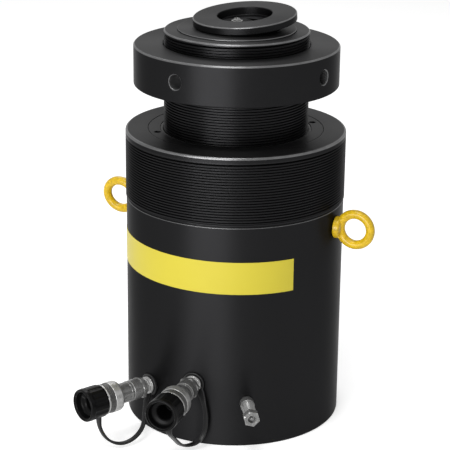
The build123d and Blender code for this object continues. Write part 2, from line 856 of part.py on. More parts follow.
for side, route in strap_routes.items():
    azimuth = port_azimuths[side]
    height = port_heights[side]
    points = [local_point(azimuth, *place) for place in route]
    radii = corner_radii(points)
    print(side, "strap bends", [round(radius, 1) for radius in radii])
    with BuildPart() as strap:
        with BuildLine() as path:
            FilletPolyline(*points, radius=radii)
        with BuildSketch(Plane(origin=path.line @ 0, z_dir=path.line % 0)):
            Circle(strap_radius)
        sweep()
        ring_plane = facing_plane(azimuth, height, strap_ring_start)
        with BuildSketch(ring_plane):
            Circle(strap_ring_radius)
            Circle(port_thread_radius + free_gap, mode=Mode.SUBTRACT)
        extrude(amount=strap_ring_end - strap_ring_start)
    keep(strap, f"{side}_cap_strap")

# Relief valve
valve_face = plain_radius - valve_spot_depth + seat_gap
valve_tip = plain_radius + valve_length
valve_hex_start = valve_tip - valve_hex_length
valve_bore = 3.6
valve_seat_bore = 1.8
valve_chamber_start = valve_face + 8.0
valve_poppet_length = 5.0

with BuildPart() as relief_valve:
    plane = radial_plane(valve_azimuth, valve_height)
    with BuildSketch(plane):
        with BuildLine():
            Polyline(
                (spot_floor - port_thread_depth + 1, valve_seat_bore),
                (spot_floor - port_thread_depth + 1, valve_thread_radius - 1),
                (spot_floor - port_thread_depth + 2, valve_thread_radius),
                (valve_face, valve_thread_radius),
                (valve_face, valve_radius),
                (valve_face + 9.0, valve_radius),
                (valve_face + 10.0, valve_radius - 0.8),
                (valve_hex_start, valve_radius - 0.8),
                (valve_hex_start, valve_bore),
                (valve_chamber_start, valve_bore),
                (valve_chamber_start, valve_seat_bore),
                close=True,
            )
        make_face()
    revolve(axis=Axis(plane.origin, plane.x_dir))
keep(relief_valve, "relief_valve")

with BuildPart() as relief_valve_cap:
    with BuildSketch(facing_plane(valve_azimuth, valve_height, valve_hex_start + seat_gap)):
        RegularPolygon(valve_hex_across_flats / 2, 6, major_radius=False, rotation=8)
    extrude(amount=valve_hex_length - seat_gap)
    cap_face = facing_plane(valve_azimuth, valve_height, valve_tip)
    with BuildSketch(cap_face):
        Circle(valve_bore + 0.5)
    extrude(amount=-5.0, mode=Mode.SUBTRACT)
    with BuildSketch(cap_face.offset(-5.0)):
        Circle(1.6)
    extrude(amount=4.2)
    chamfer_edge = valve_hex_across_flats / 2 / math.cos(math.radians(30))
    with BuildSketch(radial_plane(valve_azimuth, valve_height)):
        with BuildLine():
            Polyline(
                (valve_tip - 0.8, chamfer_edge + 0.2),
                (valve_tip + 1.0, chamfer_edge + 0.2),
                (valve_tip + 1.0, valve_hex_across_flats / 2 - 1.5),
                close=True,
            )
        make_face()
    revolve(axis=Axis((0, 0, valve_height), outward(valve_azimuth)), mode=Mode.SUBTRACT)
keep(relief_valve_cap, "relief_valve_cap")

valve_poppet_start = valve_chamber_start + seat_gap
relief_poppet = turned_radially(
    [
        (valve_poppet_start, 0),
        (valve_poppet_start, 2.6),
        (valve_poppet_start + 1.5, valve_bore - free_gap),
        (valve_poppet_start + valve_poppet_length, valve_bore - free_gap),
        (valve_poppet_start + valve_poppet_length, 0),
    ],
    valve_azimuth,
    valve_height,
)
keep(relief_poppet, "relief_poppet")
relief_spring = turned_radially(
    [
        (valve_poppet_start + valve_poppet_length + free_gap, 2.2),
        (valve_hex_start - seat_gap, 2.2),
        (valve_hex_start - seat_gap, valve_bore - free_gap),
        (valve_poppet_start + valve_poppet_length + free_gap, valve_bore - free_gap),
    ],
    valve_azimuth,
    valve_height,
)
keep(relief_spring, "relief_spring")
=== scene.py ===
import bmesh
import bpy
import math
import numpy as np
from mathutils import Matrix, Vector
from types import SimpleNamespace


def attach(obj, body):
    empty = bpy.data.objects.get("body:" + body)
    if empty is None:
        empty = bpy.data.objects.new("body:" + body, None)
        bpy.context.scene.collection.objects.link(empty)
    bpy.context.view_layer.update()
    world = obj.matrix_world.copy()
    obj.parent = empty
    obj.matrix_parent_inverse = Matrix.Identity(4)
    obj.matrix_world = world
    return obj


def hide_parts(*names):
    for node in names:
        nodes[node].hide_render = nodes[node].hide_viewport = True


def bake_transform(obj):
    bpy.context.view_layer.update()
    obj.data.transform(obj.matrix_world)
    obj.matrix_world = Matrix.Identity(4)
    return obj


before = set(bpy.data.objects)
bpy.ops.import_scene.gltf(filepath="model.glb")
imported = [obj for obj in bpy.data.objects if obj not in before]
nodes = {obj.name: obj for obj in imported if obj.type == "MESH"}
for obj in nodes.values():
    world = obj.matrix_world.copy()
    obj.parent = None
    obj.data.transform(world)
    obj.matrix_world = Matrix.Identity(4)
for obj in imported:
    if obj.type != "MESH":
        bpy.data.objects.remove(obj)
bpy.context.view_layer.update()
print("frame loaded:", len(nodes), "nodes")

# Every size below is in millimetres, in the frame's axes. Azimuths are degrees from the front (-Y), towards +X.


def named(settings):
    # settings that are read as s.radius
    return SimpleNamespace(**settings)


def outward(azimuth):
    # unit vector out of the cylinder at an azimuth
    angle = math.radians(azimuth)
    return np.array([math.sin(angle), -math.cos(angle), 0.0])


zAxis = np.array([0.0, 0.0, 1.0])


# ---- tools that build shader nodes

def emptyTree(owner):
    owner.use_nodes = True
    owner.node_tree.nodes.clear()
    return owner.node_tree


def setInputs(tree, node, inputs):
    # each input, by name or number, takes a value or another node's output
    for key, value in inputs.items():
        if isinstance(value, bpy.types.NodeSocket):
            tree.links.new(value, node.inputs[key])
        else:
            node.inputs[key].default_value = value


def newNode(tree, kind, inputs=None, **settings):
    node = tree.nodes.new("ShaderNode" + kind)
    for name, value in settings.items():
        setattr(node, name, value)
    setInputs(tree, node, inputs or {})
    return node


def newGroup(name, inputs, outputs):
    # an empty node group: a vector and the named numbers go in, and the named numbers come out
    group = bpy.data.node_groups.new(name, "ShaderNodeTree")
    group.interface.new_socket("Vector", in_out="INPUT", socket_type="NodeSocketVector")
    for label, value in inputs.items():
        group.interface.new_socket(label, in_out="INPUT", socket_type="NodeSocketFloat").default_value = value
    for label in outputs:
        group.interface.new_socket(label, in_out="OUTPUT", socket_type="NodeSocketFloat")
    return group, group.nodes.new("NodeGroupInput").outputs, group.nodes.new("NodeGroupOutput").inputs


def mathNode(tree, operation, *values, clamp=False):
    return newNode(tree, "Math", dict(enumerate(values)), operation=operation, use_clamp=clamp).outputs[0]


def noiseNode(tree, vector, scale, detail=3.0, rough=0.55):
    inputs = {"Vector": vector, "Scale": scale, "Detail": detail, "Roughness": rough}
    return newNode(tree, "TexNoise", inputs).outputs["Fac"]


# ---- camera, floor and light

def addObject(name, data):
    thing = bpy.data.objects.new(name, data)
    bpy.context.scene.collection.objects.link(thing)
    return thing


cameraSettings = {"place": (-0.01092, -1.7984, 0.83197), "lookDown": 18.890, "roll": 0.5885, "lens": 134.21}
tilt, roll = math.radians(cameraSettings["lookDown"]), math.radians(cameraSettings["roll"])
aim = Vector((0, math.cos(tilt), -math.sin(tilt)))
right = Vector((1, 0, 0))
up = right.cross(aim)
right, up = right * math.cos(roll) + up * math.sin(roll), up * math.cos(roll) - right * math.sin(roll)
camera = addObject("camera", bpy.data.cameras.new("camera"))
camera.data.lens = cameraSettings["lens"]
camera.data.sensor_width = 36
camera.data.clip_end = 50
camera.matrix_world = Matrix.Translation(cameraSettings["place"]) @ Matrix((right, up, -aim)).transposed().to_4x4()
bpy.context.scene.camera = camera

floorSettings = {"size": 14.0, "colour": (0.86, 0.86, 0.86, 1), "glow": 0.55}


def whiteFloor():
    mesh = bpy.data.meshes.new("studioFloor")
    half = floorSettings["size"] / 2
    mesh.from_pydata([(-half, -half, 0), (half, -half, 0), (half, half, 0), (-half, half, 0)], [], [(0, 1, 2, 3)])
    floor = addObject("studioFloor", mesh)
    material = bpy.data.materials.new("whiteFloor")
    tree = emptyTree(material)
    paper = newNode(tree, "BsdfDiffuse", {"Color": floorSettings["colour"]})
    path = newNode(tree, "LightPath").outputs
    seen = mathNode(tree, "MAXIMUM", path["Is Camera Ray"], path["Is Glossy Ray"])
    glow = newNode(tree, "Emission", {"Strength": mathNode(tree, "MULTIPLY", seen, floorSettings["glow"])})
    both = newNode(tree, "AddShader", {0: paper.outputs[0], 1: glow.outputs[0]})
    newNode(tree, "OutputMaterial", {"Surface": both.outputs[0]})
    mesh.materials.append(material)


worldSettings = {"fill": 0.30}


def studioWorld():
    world = bpy.data.worlds.new("studio")
    bpy.context.scene.world = world
    tree = emptyTree(world)
    fill, shown = (newNode(tree, "Background", {"Color": (1, 1, 1, 1), "Strength": strength}).outputs[0]
                   for strength in (worldSettings["fill"], 1.0))
    path = newNode(tree, "LightPath").outputs
    glossy = mathNode(tree, "MAXIMUM", path["Is Glossy Ray"], path["Is Transmission Ray"])
    seen = mathNode(tree, "MAXIMUM", path["Is Camera Ray"], glossy)
    mix = newNode(tree, "MixShader", {0: seen, 1: fill, 2: shown})
    newNode(tree, "OutputWorld", {"Surface": mix.outputs[0]})


lampTarget = (0, 0, 0.22)
lampSettings = {
    "keyLamp": {"place": (-0.94, -1.94, 0.42), "size": (1.65, 0.64), "power": 37},
    "topLamp": {"place": (-0.3, -0.75, 2.4), "size": (0.9, 0.5), "power": 18},
    "backLamp": {"place": (-0.35, 1.45, 2.0), "size": (1.2, 0.8), "power": 17},
}


def studioLamps():
    for name, lamp in lampSettings.items():
        light = bpy.data.lights.new(name, "AREA")
        light.shape = "RECTANGLE"
        light.size, light.size_y = lamp["size"]
        light.energy = lamp["power"]
        thing = addObject(name, light)
        toward = Vector(lampTarget) - Vector(lamp["place"])
        thing.location = lamp["place"]
        thing.rotation_euler = toward.to_track_quat("-Z", "Y").to_euler()


whiteFloor()
studioWorld()
studioLamps()
bpy.context.scene.view_settings.view_transform = "Standard"
print("camera, floor and light ready")


# ---- finishes

def turningLines():
    # fine rings from a lathe: noise that changes only along the axis and with the distance from it
    group, given, result = newGroup("turningLines", {"Lines per metre": 2500.0}, ["Lines"])
    split = newNode(group, "SeparateXYZ", {0: given["Vector"]}).outputs
    squares = [mathNode(group, "MULTIPLY", split[axis], split[axis]) for axis in (0, 1)]
    radius = mathNode(group, "SQRT", mathNode(group, "ADD", *squares))
    join = newNode(group, "CombineXYZ", {0: radius, 1: split[2]})
    group.links.new(noiseNode(group, join.outputs[0], given["Lines per metre"], 2.0), result["Lines"])
    return group


def mottle():
    # slow patches and fine specks, each from 0 to 1
    group, given, result = newGroup("mottle", {"Patch scale": 14.0, "Speck scale": 900.0}, ["Patches", "Specks"])
    group.links.new(noiseNode(group, given["Vector"], given["Patch scale"], 4.0), result["Patches"])
    group.links.new(noiseNode(group, given["Vector"], given["Speck scale"], 2.0), result["Specks"])
    return group


def edgeWearAndHighlight():
    # how far a finish is worn along convex edges; on the rubber caps and straps this also paints a highlight along the
    # rims
    group, given, result = newGroup("edgeWearAndHighlight", {"Start": 0.52, "Sharpness": 12.0}, ["Wear"])
    over = mathNode(group, "SUBTRACT", newNode(group, "NewGeometry").outputs["Pointiness"], given["Start"])
    edge = mathNode(group, "MULTIPLY", over, given["Sharpness"], clamp=True)
    patchy = mathNode(group, "ADD", noiseNode(group, given["Vector"], 160.0, 4.0), 0.25, clamp=True)
    group.links.new(mathNode(group, "MULTIPLY", edge, patchy, clamp=True), result["Wear"])
    return group


linesGroup, mottleGroup, edgeWearAndHighlightGroup = turningLines(), mottle(), edgeWearAndHighlight()

# what a finish has where it names nothing else
plainFinish = {"worn": (0.30, 0.30, 0.305), "specular": 0.5, "metallic": 0.0, "edge": 1.0, "turned": 0.0,
               "lines": 0.0, "mottle": 0.3, "patchScale": 14, "wear": 0.0, "spread": 0.10}

# how far patches darken and lighten a colour, and how high specks and turning lines stand
effectSettings = {"darken": 0.55, "lighten": 0.45, "height": 0.0001, "specks": 0.10, "lines": 0.5}

# colour and roughness of each finish, and how strongly each effect shows
finishSettings = {
    "blackSteel": {"colour": (0.0162, 0.0162, 0.0169), "roughness": 0.42, "metallic": 1, "edge": 0.53, "turned": 0.7,
                   "lines": 0.05, "lineScale": 2600, "mottle": 0.25, "spread": 0.08},
    "blackThread": {"colour": (0.0215, 0.0215, 0.0224), "roughness": 0.34, "metallic": 1, "edge": 0.52, "turned": 0.4,
                    "lines": 0.02, "lineScale": 2600, "spread": 0.08},
    # the top faces get a lighter, more reflective copy of the black steel: a painted sheen for the light they catch
    "topSheenSteel": {"colour": (0.027, 0.027, 0.0276), "roughness": 0.42, "metallic": 1, "edge": 0.6, "turned": 0.65,
                   "lines": 0.12, "lineScale": 2200, "spread": 0.08},
    # a light metal for chamfers and edges: partly edge wear, partly a painted highlight line along the edge
    "rubbedHighlightSteel": {"colour": (0.135, 0.135, 0.137), "roughness": 0.36, "metallic": 1, "edge": 0.7, "turned": 0.5,
                    "lines": 0.05, "lineScale": 2600, "mottle": 0.7, "patchScale": 90, "spread": 0.08},
    "labelYellow": {"colour": (0.58, 0.49, 0.040), "roughness": 0.4, "specular": 0.3, "mottle": 0.05, "spread": 0.05},
    "yellowEnamel": {"colour": (0.66, 0.43, 0.012), "worn": (0.46, 0.25, 0.02), "roughness": 0.3, "specular": 0.35,
                     "mottle": 1.0, "patchScale": 260, "wear": 0.25},
    "brightSteel": {"colour": (0.42, 0.42, 0.415), "worn": (0.75, 0.75, 0.74), "roughness": 0.25, "metallic": 0.6,
                    "lines": 0.25, "lineScale": 3800, "mottle": 0.45, "patchScale": 120, "wear": 0.3, "spread": 0.12},
    "platedSteel": {"colour": (0.2, 0.2, 0.198), "worn": (0.55, 0.55, 0.54), "roughness": 0.22, "metallic": 0.5,
                    "lines": 0.25, "lineScale": 3800, "mottle": 0.5, "patchScale": 120, "wear": 0.5, "spread": 0.12},
    "knurledSteel": {"colour": (0.085, 0.085, 0.084), "worn": (0.5, 0.5, 0.49), "roughness": 0.36, "metallic": 0.6,
                     "lines": 0.1, "lineScale": 3800, "mottle": 1.3, "patchScale": 520, "wear": 0.3, "spread": 0.12},
    "boredSteel": {"colour": (0.11, 0.11, 0.112), "worn": (0.4, 0.4, 0.4), "roughness": 0.34, "metallic": 0.6,
                   "lines": 0.2, "lineScale": 2600, "mottle": 0.4, "wear": 0.3},
    "innerSteel": {"colour": (0.38, 0.38, 0.38), "worn": (0.55, 0.55, 0.55), "roughness": 0.35, "metallic": 1,
                   "lines": 0.2, "lineScale": 3000, "mottle": 0.2, "wear": 0.2},
    "bronze": {"colour": (0.45, 0.3, 0.1), "worn": (0.55, 0.4, 0.18), "roughness": 0.35, "metallic": 1,
               "lines": 0.2, "lineScale": 3000, "mottle": 0.2, "wear": 0.2},
    "sealRubber": {"colour": (0.010, 0.010, 0.010), "worn": (0.03, 0.03, 0.03), "roughness": 0.55, "specular": 0.35,
                   "wear": 0.1},
    # on the caps and straps the worn colour along convex edges is partly edge wear, partly a painted highlight along
    # the rims
    "capRubber": {"colour": (0.0038, 0.0038, 0.0040), "worn": (0.1, 0.1, 0.1), "roughness": 0.34, "specular": 0.07,
                  "mottle": 0.4, "wear": 0.55, "spread": 0.12},
    "strapRubber": {"colour": (0.0110, 0.0110, 0.0114), "worn": (0.1, 0.1, 0.1), "roughness": 0.34, "specular": 0.16,
                    "mottle": 0.4, "wear": 0.55, "spread": 0.12},
}


def makeFinish(name, port=None):
    # port is the (azimuth, height) of a piece turned about a radial line
    s, effect = named(plainFinish | finishSettings[name]), named(effectSettings)
    material = bpy.data.materials.new(name)
    material.use_nodes = True
    tree = material.node_tree
    shader = tree.nodes["Principled BSDF"]
    # on a metal, the tint says how bright it is at a shallow angle
    setInputs(tree, shader, {"Metallic": s.metallic, "Specular IOR Level": s.specular,
                             "Specular Tint": (s.edge, s.edge, s.edge, 1)})
    if s.turned:
        # turning marks run round the axis and draw a highlight out across them
        around = newNode(tree, "Tangent", direction_type="RADIAL", axis="Z").outputs[0]
        setInputs(tree, shader, {"Tangent": around, "Anisotropic": s.turned, "Anisotropic Rotation": 0.25})
    where = newNode(tree, "TexCoord").outputs["Object"]
    if port is not None:
        # the pattern is moved and turned on to that line
        turn = Vector(outward(port[0])).to_track_quat("Z", "Y").to_euler()
        inputs = {"Vector": where, "Location": (0, 0, port[1] * 0.001), "Rotation": turn}
        where = newNode(tree, "Mapping", inputs, vector_type="TEXTURE").outputs[0]
    patches = newNode(tree, "Group", {"Vector": where, "Patch scale": s.patchScale}, node_tree=mottleGroup).outputs
    # convex edges take the worn colour: edge wear, and on the rubber caps and straps also a painted highlight along the
    # rims
    wear = newNode(tree, "Group", {"Vector": where}, node_tree=edgeWearAndHighlightGroup).outputs["Wear"]
    dark = [c * max(0.1, 1 - effect.darken * s.mottle) for c in s.colour]
    light = [min(1.0, c * (1 + effect.lighten * s.mottle)) for c in s.colour]
    plain = newNode(tree, "Mix", {0: patches["Patches"], 6: (*dark, 1), 7: (*light, 1)}, data_type="RGBA")
    inputs = {0: mathNode(tree, "MULTIPLY", wear, s.wear), 6: plain.outputs[2], 7: (*s.worn, 1)}
    wornAndHighlitColour = newNode(tree, "Mix", inputs, data_type="RGBA")
    spread = mathNode(tree, "MULTIPLY_ADD", patches["Patches"], s.spread * 2, s.roughness - s.spread)
    height = patches["Specks"]
    if s.lines:
        inputs = {"Vector": where, "Lines per metre": s.lineScale}
        lines = newNode(tree, "Group", inputs, node_tree=linesGroup).outputs["Lines"]
        spread = mathNode(tree, "MULTIPLY_ADD", lines, s.lines * 0.5, spread)
        height = mathNode(tree, "MULTIPLY_ADD", lines, 2.0, height)
    strength = effect.specks + effect.lines * s.lines
    bump = newNode(tree, "Bump", {"Height": height, "Distance": effect.height, "Strength": strength})
    setInputs(tree, shader, {"Base Color": wornAndHighlitColour.outputs[2], "Roughness": spread, "Normal": bump.outputs[0]})
    return material


finishes = {name: makeFinish(name) for name in finishSettings}
print("finishes ready:", len(finishes))


# ---- tools that make every piece

def axisPlace(origin, along, first):
    # an axis to turn about: origin, direction, where the angle starts, and a quarter turn on
    along = np.array(along, float)
    first = np.array(first, float)
    return np.array(origin, float), along, first, np.cross(along, first)


def radialPlace(azimuth, height):
    # a radial line; the angle starts at the top and goes to the left as seen from outside
    return axisPlace((0, 0, height), outward(azimuth), (0, 0, 1))


upright = axisPlace((0, 0, 0), (0, 0, 1), (0, -1, 0))


def eased(corners, closed, steps=4):
    # each corner (along, radius, ease) becomes a small curve, (1-w)^2 a + 2 w (1-w) corner + w^2 b, where a and b lie
    # at the ease from it, with one more point just outside each, so that the flats shade flat
    corners = np.array(corners, float)
    point, ease = corners[:, :2], corners[:, 2].copy()
    back, ahead = np.roll(point, 1, 0) - point, np.roll(point, -1, 0) - point
    lengthBack, lengthAhead = np.linalg.norm(back, axis=1), np.linalg.norm(ahead, axis=1)
    if not closed:
        ease[[0, -1]] = 0
    reach = np.minimum(ease, 0.4 * np.minimum(lengthBack, lengthAhead))
    back, ahead = back / np.maximum(lengthBack, 1e-9)[:, None], ahead / np.maximum(lengthAhead, 1e-9)[:, None]
    start, end = point + back * reach[:, None], point + ahead * reach[:, None]
    w = np.linspace(0, 1, steps)[None, :, None]
    curve = (1 - w) ** 2 * start[:, None] + 2 * w * (1 - w) * point[:, None] + w ** 2 * end[:, None]
    extra = np.minimum(0.25 * reach, 0.15)[:, None]
    before, after = start + back * extra, end + ahead * extra
    return np.concatenate([before[:, None], curve, after[:, None]], axis=1).reshape(-1, 2)


def turnedPoints(place, along, radius, angle):
    # point = origin + axis x along + (cos angle x first + sin angle x second) x radius
    origin, axis, first, second = place
    spoke = np.cos(angle)[..., None] * first + np.sin(angle)[..., None] * second
    return origin + along[..., None] * axis + radius[..., None] * spoke


def circleAngles(count):
    return np.linspace(0, math.tau, count, endpoint=False)


def turnedGrid(place, outline, columns, swell=None):
    # an outline turned about an axis; swell(along, radius, angle) may change the radius
    angle = circleAngles(columns) + 0 * outline[:, :1]
    along, radius = outline[:, :1] + 0 * angle, outline[:, 1:] + 0 * angle
    if swell is not None:
        radius = swell(along, radius, angle)
    return turnedPoints(place, along, radius, angle)


def gridFaces(rows, columns, closeRows, closeColumns, first=0):
    # quads between a grid's rows and columns
    index = first + np.arange(rows * columns).reshape(rows, columns)
    if closeRows:
        index = np.vstack([index, index[:1]])
    if closeColumns:
        index = np.hstack([index, index[:, :1]])
    return np.stack([index[:-1, :-1], index[:-1, 1:], index[1:, 1:], index[1:, :-1]], axis=-1).reshape(-1, 4)


def addFinish(mesh, finish):
    # a finish is given by its name, or as a material made for one piece
    mesh.materials.append(finishes[finish] if isinstance(finish, str) else finish)


def makePiece(name, grids, finish, body=None, sharp=38.0, merge=0.004):
    # grids are (points, closeRows, closeColumns); doubles merge, so that poles and seams close
    vertices, faces, count = [], [], 0
    for points, closeRows, closeColumns in grids:
        rows, columns = points.shape[:2]
        faces.append(gridFaces(rows, columns, closeRows, closeColumns, count))
        vertices.append(points.reshape(-1, 3))
        count += rows * columns
    mesh = bpy.data.meshes.new(name)
    mesh.from_pydata((np.concatenate(vertices) * 0.001).tolist(), [], np.concatenate(faces).tolist())
    settle = bmesh.new()
    settle.from_mesh(mesh)
    bmesh.ops.remove_doubles(settle, verts=settle.verts, dist=merge * 0.001)
    bmesh.ops.dissolve_degenerate(settle, dist=1e-7, edges=settle.edges)
    bmesh.ops.recalc_face_normals(settle, faces=settle.faces)
    settle.to_mesh(mesh)
    settle.free()
    piece = addObject(name, mesh)
    addFinish(mesh, finish)
    smoothFaces(piece, sharp)
    if body:
        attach(piece, body)
    return piece


def smoothFaces(piece, sharp):
    mesh = piece.data
    mesh.polygons.foreach_set("use_smooth", np.ones(len(mesh.polygons), bool))
    mesh.set_sharp_from_angle(angle=math.radians(sharp))


def turnedPiece(name, place, corners, finish, body, columns=96, closed=True, swell=None, sharp=38.0):
    grid = turnedGrid(place, eased(corners, closed), columns, swell)
    return makePiece(name, [(grid, closed, True)], finish, body, sharp)


skin = 0.05  # how far under a flat face its painted centres may lie


def paintFaces(piece, place, finish, low, high=math.inf, inner=0.0, outer=math.inf):
    # another finish for faces whose centres lie within these distances along the place's axis and out from it
    mesh = piece.data
    addFinish(mesh, finish)
    centres = np.empty(len(mesh.polygons) * 3)
    mesh.polygons.foreach_get("center", centres)
    centres = centres.reshape(-1, 3) * 1000 - place[0]
    along = centres @ place[1]
    radius = np.linalg.norm(centres - along[:, None] * place[1], axis=1)
    index = np.empty(len(mesh.polygons), np.int32)
    mesh.polygons.foreach_get("material_index", index)
    index[(along > low) & (along < high) & (radius >= inner) & (radius < outer)] = len(mesh.materials) - 1
    mesh.polygons.foreach_set("material_index", index)


def applyModifiers(piece):
    bpy.context.view_layer.update()
    old = piece.data
    shaped = bpy.data.meshes.new_from_object(piece.evaluated_get(bpy.context.evaluated_depsgraph_get()))
    piece.modifiers.clear()
    piece.data = shaped
    bpy.data.meshes.remove(old)
    shaped.name = piece.name


def cutHoles(piece, cutters, sharp=38.0, inside=None):
    # each cutter is a closed turned grid that is taken out of the piece; inside is the finish of the holes' walls
    grids = [(points, False, True) for points in cutters]
    tool = makePiece(piece.name + "Cutter", grids, inside or piece.data.materials[0])
    cut = piece.modifiers.new("holes", "BOOLEAN")
    cut.operation = "DIFFERENCE"
    cut.solver = "EXACT"
    cut.use_self = True
    cut.material_mode = "TRANSFER"
    cut.object = tool
    applyModifiers(piece)
    bpy.data.objects.remove(tool)
    smoothFaces(piece, sharp)


def threadWall(low, high, pitch, crest, tooth, columns):
    # rows of a right-hand thread: height = low + (turn + phase + angle / 360) x pitch, held between low and high, and
    # radius = crest - depth x fade; tooth lists (phase, depth), and the last column repeats the first, one turn on
    angle = np.linspace(0, math.tau, columns + 1)
    turns = np.arange(-1, math.ceil((high - low) / pitch) + 2)
    phase, depth = np.array(tooth, float).T
    start = (turns[:, None] + phase[None, :]).reshape(-1, 1)
    height = np.clip(low + (start + angle / (math.tau)) * pitch, low, high)
    fade = np.clip((height - low) / pitch, 0, 1) * np.clip((high - height) / pitch, 0, 1)
    fade = fade * fade * (3 - 2 * fade)
    radius = crest - np.tile(depth, len(turns))[:, None] * fade
    return height, radius


def threadedGrid(place, low, thread, high, columns):
    # outline, thread and outline above one another, as one grid whose last column repeats the first
    flat = np.zeros(columns + 1)
    height = np.vstack([low[:, :1] + flat, thread[0], high[:, :1] + flat])
    radius = np.vstack([low[:, 1:] + flat, thread[1], high[:, 1:] + flat])
    return turnedPoints(place, height, radius, np.linspace(0, math.tau, columns + 1) + 0 * height)


def holeCutter(azimuth, height, floor, mouth, radius, countersink, columns=48):
    # a round hole along a radial line, from its floor out past the surface, countersunk at the mouth
    outline = np.array([(floor, 0), (floor, radius), (mouth - countersink, radius), (mouth, radius + countersink),
                        (mouth + 6, radius + countersink + 6), (mouth + 6, 0)], float)
    return turnedGrid(radialPlace(azimuth, height), outline, columns)


# ---- cylinder body, with its collar thread, ports and bore

bodySettings = {
    "radius": 122.5, "plainRadius": 121.8, "height": 332.0, "topChamfer": 3.0, "bottomChamfer": 2.0,
    "undercutLow": 254.0, "undercutRadius": 120.7, "threadLow": 256.5, "threadHigh": 326.0, "pitch": 3.0, "depth": 1.75,
    "grooveHeight": 255.25,  # the middle of the groove where it passes +X
    "glandRadius": 97.45, "glandSeat": 272.0, "bore": 95.0, "boreFloor": 45.0,
    "wall": 112.0,  # between the bore and the outside: only faces further out are painted
    "columns": 256,
}
portSettings = {
    # azimuth and height
    "left": (-50.0, 54.0),
    "right": (-21.0, 72.0),
    "face": 119.8,
    "faceRadius": 13.4,
}
sides = ("left", "right")
eyeSettings = {
    "height": 233.0, "places": {"right": (66.0, 0.0), "left": (-114.0, -8.0)},  # azimuth and roll
    "face": 121.5, "faceRadius": 13.5, "standOff": 23.0, "ringRadius": 17.5, "sectionRadius": 5.0,
    "flangeRadius": 12.5, "flangeThickness": 7.5, "neck": 6.2,
}
valveSettings = {
    "azimuth": 7.0, "height": 52.0, "face": 121.0, "faceRadius": 8.8, "root": 106, "stem": 7.0, "oilWay": 1.8,
    "chamber": 3.6, "threadPitch": 1.25, "hexLength": 9.0, "hexFlat": 7.95, "tip": 164.3,
}


def makeBody():
    s = named(bodySettings)
    columns = s.columns
    # +X is a quarter turn on from the front, and the root's middle is at phase 0.6
    shift = (s.grooveHeight - s.threadLow) / s.pitch - 0.25 - 0.6
    tooth = [(shift + phase, depth) for phase, depth in ((0.0, 0.0), (0.20, 0.0), (0.50, s.depth), (0.70, s.depth))]
    low = eased([(0, 0, 0), (0, s.plainRadius, s.bottomChamfer), (60, s.plainRadius, 0), (120, s.plainRadius, 0),
                 (190, s.plainRadius, 0), (s.undercutLow, s.plainRadius, 0.4),
                 (s.undercutLow + 0.5, s.undercutRadius, 0.3), (s.threadLow - 1.0, s.undercutRadius, 0.3),
                 (s.threadLow, s.radius, 0)], False)
    high = eased([(s.threadHigh, s.radius, 0), (s.height, s.radius, s.topChamfer), (s.height, s.glandRadius, 0.8),
                  (s.glandSeat, s.glandRadius, 0), (s.glandSeat, s.bore, 0), (s.boreFloor, s.bore, 0),
                  (s.boreFloor, 0, 0)], False)
    thread = threadWall(s.threadLow, s.threadHigh, s.pitch, s.radius, tooth, columns)
    grid = threadedGrid(upright, low, thread, high, columns)
    piece = makePiece("cylinderBody", [(grid, False, False)], "blackSteel", "cylinder", sharp=30)
    paintFaces(piece, upright, "blackThread", s.threadLow, s.threadHigh, s.wall)
    # the top face is painted with the lighter sheen copy: a painted sheen
    paintFaces(piece, upright, "topSheenSteel", s.height - skin, inner=s.glandRadius)
    # the top chamfer is painted light: partly edge wear, partly a painted highlight line
    paintFaces(piece, upright, "rubbedHighlightSteel", s.height - s.topChamfer, s.height - skin, s.wall)
    # a painted highlight line round the undercut's edge
    paintFaces(piece, upright, "rubbedHighlightSteel", s.undercutLow - 0.6, s.undercutLow + 0.6,
               s.undercutRadius + 0.2)
    # spot faces, as azimuth, height, face, radius and countersink
    spots = [(*portSettings[side], portSettings["face"], portSettings["faceRadius"], 0.4) for side in sides]
    spots += [(azimuth, eyeSettings["height"], eyeSettings["face"], eyeSettings["faceRadius"], 0.2)
              for azimuth, _ in eyeSettings["places"].values()]
    spots.append((*(valveSettings[key] for key in ("azimuth", "height", "face", "faceRadius")), 0.3))
    mouth = s.plainRadius + 0.2
    cutHoles(piece, [holeCutter(azimuth, height, face, mouth, radius, sink)
                     for azimuth, height, face, radius, sink in spots], sharp=30)
    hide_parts("barrel")


makeBody()
print("cylinder body made")


# ---- label band, left bare

labelSettings = {"fromAzimuth": -88.0, "toAzimuth": 31.3, "topAtLeft": 218.0, "topAtRight": 214.8,
                 "bottomAtLeft": 181.2, "bottomAtRight": 178.5, "lift": 0.03, "thickness": 0.22}


def makeLabel():
    # a thin shell between two sloping edges: its section goes up the outside and down the inside
    s = named(labelSettings)
    across = np.linspace(0, 1, 80)[:, None]
    azimuth = np.radians(s.fromAzimuth + across * (s.toAzimuth - s.fromAzimuth))
    top = s.topAtLeft + across * (s.topAtRight - s.topAtLeft)
    bottom = s.bottomAtLeft + across * (s.bottomAtRight - s.bottomAtLeft)
    inner = bodySettings["plainRadius"] + s.lift
    outer = inner + s.thickness
    flat = [(share, outer) for share in (0.002, 0.2, 0.4, 0.6, 0.8, 0.998)]
    softened = outer - 0.08
    section = np.array([(0, inner), (0, softened), *flat, (1, softened), (1, inner), (0.6, inner), (0.4, inner)])
    height = bottom + section[None, :, 0] * (top - bottom)
    radius = section[None, :, 1] + 0 * height
    points = turnedPoints(upright, height, radius, azimuth + 0 * height)
    ends = [np.stack([row, np.repeat(row.mean(0)[None], len(row), 0)], axis=0) for row in (points[0], points[-1])]
    grids = [(grid, False, True) for grid in (points, *ends)]
    piece = makePiece("labelBand", grids, "labelYellow", "cylinder", merge=0.001)


makeLabel()
print("label band made")


# ---- gland ring and wiper

